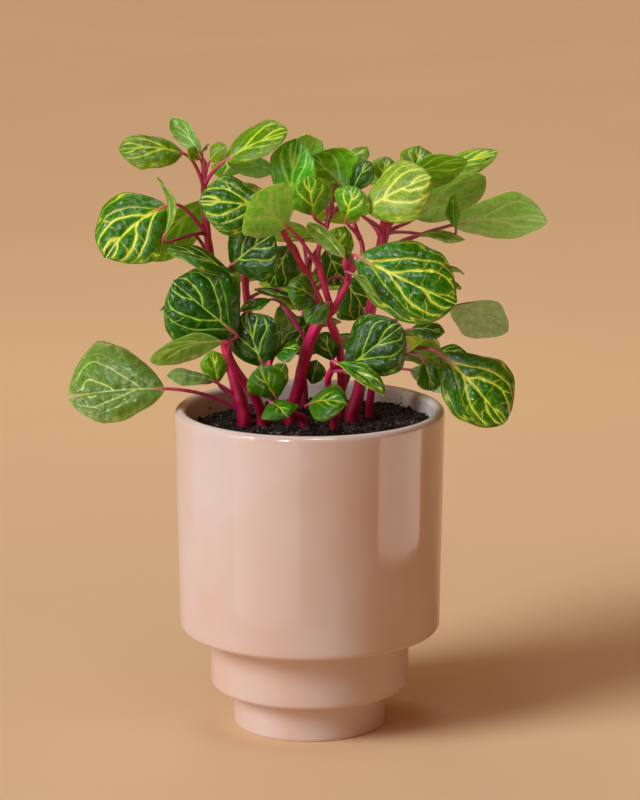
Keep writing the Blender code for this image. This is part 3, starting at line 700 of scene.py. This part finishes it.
bladeShape = {
    "thickness": 0.42, "marginShare": 0.45, "step": 0.8, "basePower": 0.75, "tipPower": 0.6,
    "blunt": 0.9985, "veinPower": 0.6, "sweep": (0.74, 0.3), "ribHeight": 0.26, "ribWidth": 0.75,
    "quiltReach": 2.2, "loop": (2.3, 0.9), "branchEvery": 7.5, "seed": 11,
}

# lamina, the lighter green beside the veins, and the veins: upper side, then under side. The under sides are partly
# their own paler green, partly painted light: painted lighter and greener for the light that shines through the
# blade
leafLooks = {
    "bold": {
        "upper": ((29, 110, 2), (102, 182, 14), (250, 250, 88)),
        "under": ((150, 220, 46), (190, 240, 72), (226, 250, 160)),
        "veinWidth": 1.15, "net": 0.25, "puff": 1.25, "veins": 3.0,
    },
    "bright": {
        "upper": ((70, 132, 2), (136, 178, 8), (234, 238, 60)),
        "under": ((96, 150, 18), (128, 176, 34), (206, 216, 90)),
        "veinWidth": 0.8, "net": 0.5, "puff": 0.8, "veins": 3.3,
    },
    "lime": {
        "upper": ((78, 124, 2), (144, 180, 12), (206, 222, 70)),
        "under": ((118, 152, 44), (146, 176, 66), (222, 222, 120)),
        "veinWidth": 0.8, "net": 0.5, "puff": 0.7, "veins": 3.3,
    },
    "fresh": {
        "upper": ((72, 146, 3), (152, 202, 18), (226, 240, 82)),
        "under": ((154, 236, 80), (180, 246, 100), (204, 250, 130)),
        "veinWidth": 0.9, "net": 0.45, "puff": 0.85, "veins": 3.3,
    },
    "gloss": {
        "upper": ((12, 72, 2), (52, 126, 8), (174, 200, 60)),
        "under": ((76, 112, 30), (104, 136, 46), (186, 200, 98)),
        "veinWidth": 0.75, "net": 0.3, "puff": 1.25, "veins": 3.4,
    },
    "deep": {
        "upper": ((25, 102, 2), (66, 164, 10), (242, 250, 120)),
        "under": ((84, 128, 32), (112, 150, 46), (180, 196, 92)),
        "veinWidth": 0.6, "net": 0.2, "puff": 0.8, "veins": 3.3,
    },
    # painted light: these leaves show their under side, painted pale and bright for the light shining through them
    "glow": {
        "upper": ((108, 146, 32), (172, 194, 54), (234, 240, 100)),
        "under": ((138, 222, 80), (170, 244, 112), (190, 254, 132)),
        "veinWidth": 1.05, "net": 0.65, "puff": 0.7, "veins": 3.2,
    },
    # partly painted sheen: a paler green of their own, greyed by a painted whitish sheen
    "mist": {
        "upper": ((92, 134, 48), (122, 156, 60), (192, 212, 116)),
        "under": ((106, 152, 54), (134, 174, 66), (214, 230, 124)),
        "veinWidth": 0.65, "net": 0.3, "puff": 0.35, "veins": 3.3,
    },
    "grey": {
        "upper": ((112, 146, 80), (134, 166, 92), (184, 202, 122)),
        "under": ((118, 150, 84), (138, 168, 98), (188, 204, 128)),
        "veinWidth": 0.5, "net": 0.2, "puff": 0.2, "veins": 3.1,
    },
    "olive": {
        "upper": ((42, 100, 8), (92, 146, 22), (204, 218, 72)),
        "under": ((110, 182, 15), (148, 226, 36), (192, 252, 136)),
        "veinWidth": 0.7, "net": 0.05, "puff": 0.3, "veins": 3.1,
    },
    "pale": {
        "upper": ((62, 120, 24), (106, 154, 44), (198, 212, 84)),
        "under": ((128, 188, 80), (166, 226, 128), (222, 250, 178)),
        "veinWidth": 0.6, "net": 0.1, "puff": 0.3, "veins": 3.1,
    },
    "edge": {
        "upper": ((98, 142, 38), (182, 208, 84), (236, 246, 150)),
        "under": ((126, 170, 76), (146, 186, 88), (214, 224, 116)),
        "veinWidth": 0.5, "net": 0.1, "puff": 0.2, "veins": 3.1,
    },
    "cream": {
        "upper": ((42, 102, 12), (94, 148, 28), (208, 220, 78)),
        "under": ((150, 234, 118), (176, 248, 146), (208, 254, 172)),
        "veinWidth": 0.75, "net": 0.05, "puff": 0.3, "veins": 3.0,
    },
    "fold": {
        "upper": ((60, 164, 12), (132, 236, 46), (200, 253, 104)),
        "under": ((104, 148, 54), (130, 168, 68), (208, 220, 116)),
        "veinWidth": 0.9, "net": 0.3, "puff": 1.0, "veins": 3.4,
    },
    "curl": {
        "upper": ((42, 102, 3), (100, 150, 8), (196, 214, 54)),
        "under": ((84, 120, 30), (110, 142, 46), (176, 194, 90)),
        "veinWidth": 0.6, "net": 0.2, "puff": 1.0, "veins": 5.2, "redRib": 1.0,
    },
    "deepunder": {
        "upper": ((22, 68, 8), (54, 108, 18), (162, 186, 54)),
        "under": ((120, 190, 78), (150, 222, 100), (176, 236, 140)),
        "veinWidth": 0.5, "net": 0.05, "puff": 0.3, "veins": 3.1,
    },
    "deep2": {
        "upper": ((14, 84, 3), (62, 140, 16), (194, 230, 94)),
        "under": ((76, 110, 34), (104, 136, 46), (180, 196, 98)),
        "veinWidth": 0.65, "net": 0.22, "puff": 1.35, "veins": 3.3,
    },
    "brown": {
        "upper": ((42, 80, 16), (78, 118, 28), (172, 186, 74)),
        "under": ((170, 214, 160), (184, 224, 172), (160, 168, 138)),
        "veinWidth": 0.6, "net": 0.05, "puff": 0.3, "veins": 3.2,
    },
    "bud": {
        "upper": ((106, 136, 8), (142, 164, 22), (208, 208, 70)),
        "under": ((112, 150, 36), (140, 172, 50), (196, 210, 90)),
        "veinWidth": 0.45, "net": 0.2, "puff": 0.2, "veins": 2.9,
    },
}


def unit(vectors):
    return vectors / np.maximum(np.linalg.norm(vectors, axis=-1, keepdims=True), 1e-9)


def dot(first, second):
    return (first * second).sum(-1, keepdims=True)


def midribAt(blade, t):
    # points of the midrib for an array of places, with the ways along, across and out of it
    chord = blade["tip"] - blade["base"]
    way = unit(chord)
    out = unit(blade["face"] - blade["face"].dot(way) * way)
    rise = (out * blade["arch"] + np.cross(way, out) * blade["bow"]) * 4 / 3
    a, d = blade["base"], blade["tip"]
    b = a + chord / 3 + rise
    c = a + chord * 2 / 3 + rise
    t = t[..., None]
    s = 1 - t
    point = a * s ** 3 + 3 * b * s * s * t + 3 * c * s * t * t + d * t ** 3
    along = unit(3 * (b - a) * s * s + 6 * (c - b) * s * t + 3 * (d - c) * t * t)
    out = unit(out - dot(np.broadcast_to(out, along.shape), along) * along)
    return point, along, np.cross(along, out), out


def halfWidth(blade, t):
    b = bladeShape
    widest = b["basePower"] / (b["basePower"] + b["tipPower"]) / b["blunt"]
    top = widest ** b["basePower"] * (1 - widest * b["blunt"]) ** b["tipPower"]
    return blade["wide"] / 2 * t ** b["basePower"] * (1 - t * b["blunt"]) ** b["tipPower"] / top


def bladeSheet(blade, t, v):
    # the blade's middle sheet, and how far each point is from the midrib across the blade
    away = np.abs(v)
    hand = np.where(v >= 0, 1.0, -1.0)
    shift = blade["notch"] * (1 - away) * np.maximum(0, t - 0.7) / 0.3
    point, along, across, out = midribAt(blade, t - shift)
    fold = math.radians(blade["fold"])
    turn = math.radians(-2 * blade["curl"])
    angle = fold + turn * away
    reach = halfWidth(blade, t) * (1 + blade["skew"] * hand)
    reach = reach * (1 + 0.045 * np.sin(9 * t + blade["wide"]) + 0.018 * np.sin(21 * t + hand))
    aside = hand * reach * (np.sin(angle) - math.sin(fold)) / turn
    rise = reach * (math.cos(fold) - np.cos(angle)) / turn
    rise = rise + 0.75 * v * v * np.sin(8 * t + hand + blade["wide"])
    return point + across * aside[..., None] + out * rise[..., None], reach, out


def veinField(blade, look, t, away, phase, side):
    # whole steps of this number are the side veins; it wavers a little, as they do
    near, far = bladeShape["sweep"]
    start = t - near * away - far * away ** 3
    grown = np.sign(start) * np.abs(start) ** bladeShape["veinPower"]
    waver = 0.07 * np.sin(5 * t + phase + 2 * side) + 0.05 * np.sin(9 * away + 3 * t + 2 * phase)
    return look["veins"] * grown + waver + 0.12 * side, start


def fieldSpread(field, sheet):
    # millimetres for each whole step of the field, from how the sheet is stretched
    alongT = np.gradient(sheet, axis=0)
    alongV = np.gradient(sheet, axis=1)
    fieldT = np.gradient(field, axis=0)
    fieldV = np.gradient(field, axis=1)
    e = (alongT ** 2).sum(-1)
    f = (alongT * alongV).sum(-1)
    g = (alongV ** 2).sum(-1)
    area = np.maximum(e * g - f * f, 1e-6)
    slope = (g * fieldT ** 2 - 2 * f * fieldT * fieldV + e * fieldV ** 2) / area
    return 1 / np.sqrt(np.maximum(slope, 1e-4))


def buildBlade(blade, randomly):
    # both skins of one leaf with what its colours are worked out from
    look = leafLooks[blade["look"]]
    length = np.linalg.norm(blade["tip"] - blade["base"])
    size = min(1.0, length / 42) ** 0.5
    rows = int(np.clip(length / bladeShape["step"], 12, 58))
    half = int(np.clip(blade["wide"] / 2 / bladeShape["step"], 5, 28))
    t = 0.012 + 0.988 * (0.5 - 0.5 * np.cos(np.pi * np.linspace(0, 1, rows)))
    v = np.linspace(-1, 1, 2 * half + 1)
    v = np.sign(v) * np.abs(v) ** 1.12
    t, v = np.meshgrid(t, v, indexing="ij")
    sheet, reach, out = bladeSheet(blade, t, v)
    away = np.abs(v)
    phase = randomly.uniform(0, 6.28)
    across = away * reach
    margin = (1 - away) * reach
    courses = []
    for hand in (-1, 1):
        field, start = veinField(blade, look, t, away, phase, hand)
        spread = np.clip(fieldSpread(field, sheet), 0.5, 60)
        # side veins fade out below the lowest, where they would crowd, and towards the tip
        strength = smoothStep(-0.25, 0.15, field) * smoothStep(1.6, 3.4, spread)
        courses.append((field, spread, strength * (1 - smoothStep(0.74, 0.86, start))))
    field, spread, strength = (np.where(v < 0, left, right) for left, right in zip(*courses))
    side = np.abs(field - np.floor(field) - 0.5) * spread
    loop = bladeShape["loop"][0] - bladeShape["loop"][1] * np.cos(2 * np.pi * field)
    loop = np.abs(margin - loop * size) + 4 * (1 - smoothStep(0.06, 0.3, t))
    nearVein = np.minimum(np.minimum(across, side + 3 * (1 - strength)), np.minimum(loop, margin + 0.4))
    quilt = look["puff"] * size * (1 - np.exp(-(nearVein / (bladeShape["quiltReach"] * size)) ** 2))
    normal = unit(np.cross(np.gradient(sheet, axis=1), np.gradient(sheet, axis=0)))
    normal = np.where(dot(normal, out) > 0.05, normal, out)
    sheet = sheet + normal * (quilt - 0.5 * look["puff"])[..., None]
    normal = unit(np.cross(np.gradient(sheet, axis=1), np.gradient(sheet, axis=0)))
    normal = np.where(dot(normal, out) > 0.05, normal, out)
    thick = bladeShape["thickness"] * (1 - (1 - bladeShape["marginShare"]) * away ** 4)
    rib = bladeShape["ribHeight"] * size * np.exp(-(across / bladeShape["ribWidth"]) ** 2) * (1 - 0.75 * t)
    rib = rib + 0.16 * size * np.exp(-(side / 0.5) ** 2) * (1 - away)
    upper = sheet + normal * (thick / 2)[..., None]
    under = sheet - normal * (thick / 2 + rib)[..., None]
    # how far along the side veins each point lies, for the branches between them
    lean = math.atan2(blade["wide"] / 2, bladeShape["sweep"][0] * length)
    course = (t * length * math.cos(lean) + across * math.sin(lean)) / (bladeShape["branchEvery"] * size)
    return gatherBlade(look, size, (upper, under), (t, v, across, margin, course), courses, randomly)


def gatherBlade(look, size, skins, places, courses, randomly):
    t, v, across, margin, course = places
    rows, columns = t.shape
    count = rows * columns
    index = np.arange(count).reshape(rows, columns)
    a, b = index[:-1, :-1].ravel(), index[:-1, 1:].ravel()
    c, d = index[1:, 1:].ravel(), index[1:, :-1].ravel()
    upperFaces = np.stack([a, b, c, d], 1)
    underFaces = np.stack([d, c, b, a], 1) + count
    edge = np.concatenate([index[:, 0][::-1], index[0, 1:], index[1:, -1], index[-1, -2::-1]])
    edge = edge[:-1] if edge[0] == edge[-1] else edge
    after = np.roll(edge, -1)
    rimFaces = np.stack([after, edge, edge + count, after + count], 1)
    faces = np.concatenate([upperFaces, underFaces, rimFaces])
    middle = columns // 2
    # the course of the side veins is kept for each face corner, as the midrib has one for each hand
    isRight = (np.arange(columns - 1) >= middle)[None, :].repeat(rows - 1, 0).ravel()
    flat = [np.stack([values.ravel() for values in hand], 1) for hand in courses]
    cornerIndex = np.concatenate([upperFaces, underFaces - count])
    right = np.concatenate([isRight, isRight])[:, None, None]
    corners = np.where(right, flat[1][cornerIndex], flat[0][cornerIndex])
    rimIndex = rimFaces % count
    rimRight = (rimIndex % columns >= middle)[..., None]
    rimCorners = np.where(rimRight, flat[1][rimIndex], flat[0][rimIndex])
    shade = randomly.uniform(0.9, 1.1)
    colours = {}
    # the under side's colours carry painted light: painted lighter and greener for the light that shines through the
    # blade
    for layer, name in enumerate(("leafGreen", "leafGlow", "leafVein")):
        both = [np.array(screenColour(*look[side][layer])[:3]) * (shade if layer < 2 else 1)
                for side in ("upper", "under")]
        colours[name] = np.concatenate([np.tile(both[0], (count, 1)), np.tile(both[1], (count, 1))])
    isUpper = np.concatenate([np.ones(count), np.zeros(count)])
    kind = np.stack([np.full(2 * count, look["veinWidth"] * size), np.full(2 * count, look["net"]), isUpper], 1)
    place = np.stack([t.ravel(), across.ravel(), margin.ravel()], 1)
    red = look.get("redRib", 0.0)
    drawn = np.stack([np.full(2 * count, red), np.full(2 * count, randomly.uniform(0, 50)),
                      np.tile(course.ravel(), 2)], 1)
    return {
        "points": np.concatenate([skin.reshape(-1, 3) for skin in skins]),
        "faces": faces,
        "corners": np.concatenate([corners.reshape(-1, 3), rimCorners.reshape(-1, 3)]),
        "leafPlace": np.concatenate([place, place]), "leafKind": kind, "leafSeed": drawn, **colours,
    }


def buildLeaves(name, plant, material, randomly):
    blades = [buildBlade(blade, randomly) for blade in plant["leaves"]]
    faces = []
    start = 0
    for blade in blades:
        faces.append(blade["faces"] + start)
        start += len(blade["points"])
    points = np.concatenate([blade["points"] for blade in blades])
    piece = addPiece(name + "_leaves", points, np.concatenate(faces).tolist(), material)
    for stored in ("leafPlace", "leafKind", "leafSeed", "leafGreen", "leafGlow", "leafVein"):
        storeOnPoints(piece, stored, np.concatenate([blade[stored] for blade in blades]))
    storeOnCorners(piece, "veinPlace", np.concatenate([blade["corners"] for blade in blades]))
    finishPiece(piece, "leaf", name)
    return len(points)


def leafMaterial():
    material, tree, shader = newMaterial("leafSkin")
    along, across, margin = readVector(tree, "leafPlace")
    straightField, spread, strength = readVector(tree, "veinPlace")
    width, net, isUpper = readVector(tree, "leafKind")
    red, seed, course = readVector(tree, "leafSeed")

    def sum3(first, second, third=0.0):
        return calc(tree, "ADD", calc(tree, "ADD", first, second), third)

    def product(*values):
        result = values[0]
        for value in values[1:]:
            result = calc(tree, "MULTIPLY", result, value)
        return result

    # veins waver and swell a little along their way
    waver = calc(tree, "SUBTRACT", noiseAt(tree, 130.0, 2.0, 0.5), 0.5)
    swell = remap(tree, noiseAt(tree, 210.0, 2.0, 0.6), 0.3, 0.7, 0.5, 1.5, "LINEAR")
    field = calc(tree, "ADD", straightField, product(waver, 0.3))
    away = calc(tree, "DIVIDE", across, sum3(across, margin, 0.001))
    sideways = calc(tree, "ABSOLUTE", calc(tree, "SUBTRACT", calc(tree, "FRACT", field), 0.5))
    wave = calc(tree, "COSINE", product(field, 2 * math.pi))
    near, swing = bladeShape["loop"]
    scale = calc(tree, "MINIMUM", calc(tree, "MULTIPLY", width, 1.3), 1.0)
    loopAt = product(calc(tree, "SUBTRACT", near, product(wave, swing)), scale)
    loopSide = calc(tree, "SUBTRACT", calc(tree, "ADD", margin, product(waver, 1.6)), loopAt)

    def line(distance, start, end, place, weight):
        # a vein's core, and the lighter green that spreads from it
        half = product(remap(tree, place, 0.0, 1.0, start, end, "LINEAR"), width, swell)
        share = calc(tree, "DIVIDE", distance, half)
        core = remap(tree, share, 0.45, 1.35, 1.0, 0.0)
        halo = remap(tree, share, 0.6, 4.2, 1.0, 0.0)
        return product(core, weight), product(halo, weight)

    inside = remap(tree, loopSide, -0.5, 0.3)
    ribCore, ribHalo = line(calc(tree, "ABSOLUTE", sum3(across, product(waver, 0.5))), 0.85, 0.25, along, 1.0)
    sideCore, sideHalo = line(product(sideways, spread), 0.66, 0.36, away, product(strength, inside))
    loopWeight = product(remap(tree, along, 0.1, 0.35), remap(tree, away, 0.3, 0.6), 0.8)
    loopCore, loopHalo = line(calc(tree, "ABSOLUTE", loopSide), 0.42, 0.34, along, loopWeight)

    # branches leave the side veins towards the margin, each at its own place, and some are missing
    lane = calc(tree, "FLOOR", calc(tree, "ADD", field, 0.5))
    inLane = calc(tree, "SUBTRACT", calc(tree, "FRACT", calc(tree, "ADD", field, 0.5)), 0.5)
    branch = sum3(course, product(lane, 0.37), sum3(product(inLane, 0.75), product(waver, 0.8), seed))
    number = addNode(tree, "CombineXYZ", {0: lane, 1: calc(tree, "FLOOR", branch)}).outputs[0]
    chance = addNode(tree, "TexWhiteNoise", {"Vector": number}, noise_dimensions="2D").outputs["Value"]
    fromBranch = calc(tree, "ABSOLUTE", calc(tree, "SUBTRACT", calc(tree, "FRACT", branch), 0.5))
    reach = calc(tree, "ADD", inLane, remap(tree, chance, 0.0, 1.0, 0.1, 0.9, "LINEAR"))
    weight = product(remap(tree, chance, 0.3, 0.4), remap(tree, reach, 0.0, 0.12),
                     remap(tree, away, 0.1, 0.6, 0.2, 0.85), remap(tree, strength, 0.1, 0.6, 0.2, 1.0))
    branchCore, branchHalo = line(product(fromBranch, bladeShape["branchEvery"]), 0.34, 0.28, along, weight)

    def strongest(*values):
        result = values[0]
        for value in values[1:]:
            result = calc(tree, "MAXIMUM", result, value)
        return result

    # the fine net of the smallest veins
    cellPlace = addNode(tree, "CombineXYZ", {0: product(field, 2.6), 1: product(course, 2.2), 2: seed}).outputs[0]
    cells = addNode(tree, "TexVoronoi", {"Vector": cellPlace, "Scale": 1.0}, feature="DISTANCE_TO_EDGE")
    netLine = product(remap(tree, cells.outputs["Distance"], 0.0, 0.12, 1.0, 0.0), net,
                      remap(tree, away, 0.0, 0.9, 0.5, 1.0))
    core = strongest(ribCore, sideCore, loopCore, product(branchCore, 0.85))
    halo = strongest(ribHalo, sideHalo, product(loopHalo, 0.7), product(branchHalo, 0.6))

    mottle = noiseAt(tree, 240.0, 4.0, 0.6)
    green = mixColour(tree, 1.0, readColour(tree, "leafGreen"), remap(tree, mottle, 0.3, 0.7, 0.8, 1.18), "MULTIPLY")
    lit = calc(tree, "MINIMUM", sum3(product(halo, halo, 0.9), product(netLine, 0.6)), 1.0)
    colour = mixColour(tree, lit, green, readColour(tree, "leafGlow"))
    veinColour = mixColour(tree, remap(tree, away, 0.35, 1.0, 0.0, 0.45), readColour(tree, "leafVein"),
                           readColour(tree, "leafGlow"))
    colour = mixColour(tree, strongest(core, product(netLine, 0.4)), colour, veinColour)
    # the veins start orange and pink at the stalk, and a red midrib stays red further on
    reachOfRed = remap(tree, red, 0.0, 1.0, 0.2, 0.8, "LINEAR")
    blush = remap(tree, calc(tree, "DIVIDE", along, reachOfRed), 0.15, 1.0, 1.0, 0.0)
    blush = product(blush, strongest(ribCore, product(core, 0.6), product(halo, 0.3)))
    warm = mixColour(tree, remap(tree, along, 0.0, 0.12), screenColour(200, 60, 78), screenColour(236, 168, 58))
    warm = mixColour(tree, red, warm, screenColour(196, 58, 38))
    colour = mixColour(tree, product(blush, 0.75), colour, warm)
    rim = product(remap(tree, margin, 0.1, 0.5, 1.0, 0.0), 0.4)
    colour = mixColour(tree, rim, colour, readColour(tree, "leafVein"))
    tree.links.new(colour, shader.inputs["Base Color"])
    wet = product(isUpper, remap(tree, mottle, 0.35, 0.65, 0.24, 0.36))
    rough = calc(tree, "SUBTRACT", 0.41, wet)
    tree.links.new(calc(tree, "ADD", rough, product(core, 0.1)), shader.inputs["Roughness"])
    shader.inputs["Specular IOR Level"].default_value = 0.34
    # light shines through the thin blade
    shader.inputs["Subsurface Weight"].default_value = 0.75
    shader.inputs["Subsurface Radius"].default_value = (1.0, 1.0, 0.5)
    shader.inputs["Subsurface Scale"].default_value = 2.0 * mm
    # puckered between the branches, with a fine grain on top
    pucker = noiseAt(tree, 240.0, 1.0, 0.4)
    grain = addNode(tree, "TexVoronoi", {"Scale": 1500.0}, feature="SMOOTH_F1").outputs["Distance"]
    sunken = sum3(product(netLine, 0.06), product(branchCore, 0.2), product(loopCore, 0.2))
    height = calc(tree, "SUBTRACT", sum3(product(pucker, 2.9), product(grain, 0.04)), sunken)
    addBump(tree, shader, height, 0.85, 0.6 * mm)
    return material


# stems and stalks

stalkShape = {
    "foot": 122.0, "lean": 158.0, "radii": (1.1, 0.8, 0.5), "reach": 0.2, "sides": 14, "stalkSides": 10,
    "swell": 0.16, "ridge": 0.035,
}

stalkLook = {
    "soilEnd": (166, 14, 50),
    "stem": (210, 28, 90),
    "tip": (160, 78, 62),
    "stalk": (198, 52, 106),
    "stalkTip": (212, 100, 112),
    "dark": (124, 22, 44),
}


def smoothRoute(points, steps):
    ends = [points[0] * 2 - points[1]] + points + [points[-1] * 2 - points[-2]]
    found = []
    for index in range(1, len(ends) - 2):
        a, b, c, d = ends[index - 1:index + 3]
        for step in range(steps):
            t = step / steps
            found.append(0.5 * (2 * b + (c - a) * t + (2 * a - 5 * b + 4 * c - d) * t * t
                                + (3 * b - a - 3 * c + d) * t ** 3))
    found.append(points[-1].copy())
    return found


def tubeRings(path, radii, sides, ridge, colours):
    points, shades = [], []
    across = Vector((0, 1, 0)) if abs((path[1] - path[0]).normalized().y) < 0.9 else Vector((1, 0, 0))
    for index, point in enumerate(path):
        before = path[max(index - 1, 0)]
        after = path[min(index + 1, len(path) - 1)]
        way = (after - before).normalized()
        across = (across - across.dot(way) * way).normalized()
        other = way.cross(across)
        for side in range(sides):
            angle = 2 * math.pi * side / sides
            reach = radii[index] * (1 + ridge * math.cos(4 * angle))
            points.append(point + reach * (math.cos(angle) * across + math.sin(angle) * other))
            shades.append(colours[index])
    return points, shades, turnedFaces(len(path), sides)


def mixed(first, second, share):
    return tuple(a + (b - a) * share for a, b in zip(first, second))


def shootTube(route, root, top, joints):
    # a shoot with a swollen joint where each pair of stalks leaves it
    path = smoothRoute([Vector(point) for point in route], 7)
    radii = [root + (top - root) * step / (len(path) - 1) for step in range(len(path))]
    look = {name: screenColour(*colour)[:3] for name, colour in stalkLook.items()}
    if route[0][2] == stalkShape["lean"]:
        path = [Vector((route[0][0], route[0][1], stalkShape["foot"] + 4 * step)) for step in range(9)] + path
        radii = [root] * 9 + radii
    colours = []
    for index, point in enumerate(path):
        for joint in joints:
            radii[index] += stalkShape["swell"] * root * math.exp(-((point.z - joint) / 2.2) ** 2) * 0.5
        low = min(1.0, max(0.0, (point.z - 150) / 40))
        thin = min(1.0, max(0.0, (2.2 - radii[index]) / 1.2)) * min(1.0, max(0.0, (point.z - 240) / 40))
        colours.append(mixed(mixed(look["soilEnd"], look["stem"], low), look["tip"], thin))
    way = (path[-1] - path[-2]).normalized()
    for share, out in ((0.75, 0.7), (0.35, 1.1)):
        path.append(path[-1] + way * out)
        radii.append(top * share)
        colours.append(colours[-1])
    return tubeRings(path, radii, stalkShape["sides"], stalkShape["ridge"], colours)


def shootPathOfPart(route):
    # the part's own coarser path, which says where each stalk starts
    path = smoothRoute([Vector(point) for point in route], 2)
    if route[0][2] == stalkShape["lean"]:
        path.insert(0, Vector((route[0][0], route[0][1], stalkShape["foot"])))
    return path


def stalkTube(blade, path):
    nearest = min(range(1, len(path) - 1), key=lambda index: abs(path[index].z - blade["z"]))
    joint = path[nearest]
    growth = (path[nearest + 1] - path[nearest - 1]).normalized()
    base = Vector(blade["base"])
    place, along, _, out = midribAt(blade, np.array([0.0, 0.07, 0.14, stalkShape["reach"]]))
    gap = (base - joint).length
    first = joint + (base - joint) * 0.3 + growth * gap * 0.12
    second = base - Vector(along[0]) * gap * 0.3
    steps = max(6, int(gap / 2))
    route = []
    for step in range(steps + 1):
        t = step / steps
        s = 1 - t
        route.append(joint * s ** 3 + first * 3 * s * s * t + second * 3 * s * t * t + base * t ** 3)
    thick, thin, fine = stalkShape["radii"]
    scale = 0.62 + 0.38 * min(1, blade["wide"] / 30)
    radii = [scale * (thick + (thin - thick) * step / steps) for step in range(steps + 1)]
    radii[0] *= 1.5
    radii[1] *= 1.2
    for index in (1, 2, 3):
        route.append(Vector(place[index] - out[index] * (0.12 + 0.1 * index)))
        radii.append(scale * (thin + (fine - thin) * index / 3) * (1 - 0.2 * index))
    look = {name: screenColour(*colour)[:3] for name, colour in stalkLook.items()}
    outer = mixed(look["dark"], look["stalk"], 0.35 if blade["look"] in ("deep", "deepunder", "edge") else 1.0)
    colours = [mixed(outer, look["stalkTip"], max(0.0, step / steps - 0.5)) for step in range(steps + 1)]
    colours += [look["stalkTip"]] * 3
    return tubeRings(route, radii, stalkShape["stalkSides"], 0.0, colours)


def buildStalks(name, plant, material):
    points, shades, faces = [], [], []
    tubes = []
    for index, (route, root, top) in enumerate(plant["shoots"]):
        joints = {blade["z"] for blade in plant["leaves"] if blade["on"] == index}
        tubes.append(shootTube(route, root, top, sorted(joints)))
    paths = [shootPathOfPart(route) for route, _, _ in plant["shoots"]]
    tubes += [stalkTube(blade, paths[blade["on"]]) for blade in plant["leaves"]]
    for tubePoints, tubeShades, tubeFaces in tubes:
        faces.extend(tuple(index + len(points) for index in face) for face in tubeFaces)
        points.extend(tuple(point) for point in tubePoints)
        shades.extend(tubeShades)
    piece = addPiece(name + "_stalks", points, faces, material)
    storeOnPoints(piece, "stalkColour", shades)
    finishPiece(piece, "stalk", name)


def stalkMaterial():
    material, tree, shader = newMaterial("stalkSkin")
    fibres = noiseAt(tree, 900.0, 2.0, 0.5, stretch=(1.0, 1.0, 0.12))
    cloud = noiseAt(tree, 120.0, 3.0, 0.5)
    shade = calc(tree, "ADD", remap(tree, fibres, 0.35, 0.65, -0.12, 0.12), remap(tree, cloud, 0.3, 0.7, 0.82, 1.18))
    colour = mixColour(tree, 1.0, readColour(tree, "stalkColour"), shade, "MULTIPLY")
    tree.links.new(colour, shader.inputs["Base Color"])
    shader.inputs["Roughness"].default_value = 0.38
    addBump(tree, shader, fibres, 0.25, 0.25 * mm)
    return material


def buildPlant():
    leafSkin = leafMaterial()
    stalkSkin = stalkMaterial()
    randomly = random.Random(bladeShape["seed"])
    for name, plant in stems.items():
        points = buildLeaves(name, plant, leafSkin, randomly)
        buildStalks(name, plant, stalkSkin)
        print(name, len(plant["leaves"]), "leaves,", points, "points")


buildPlant()

print("plant finished")
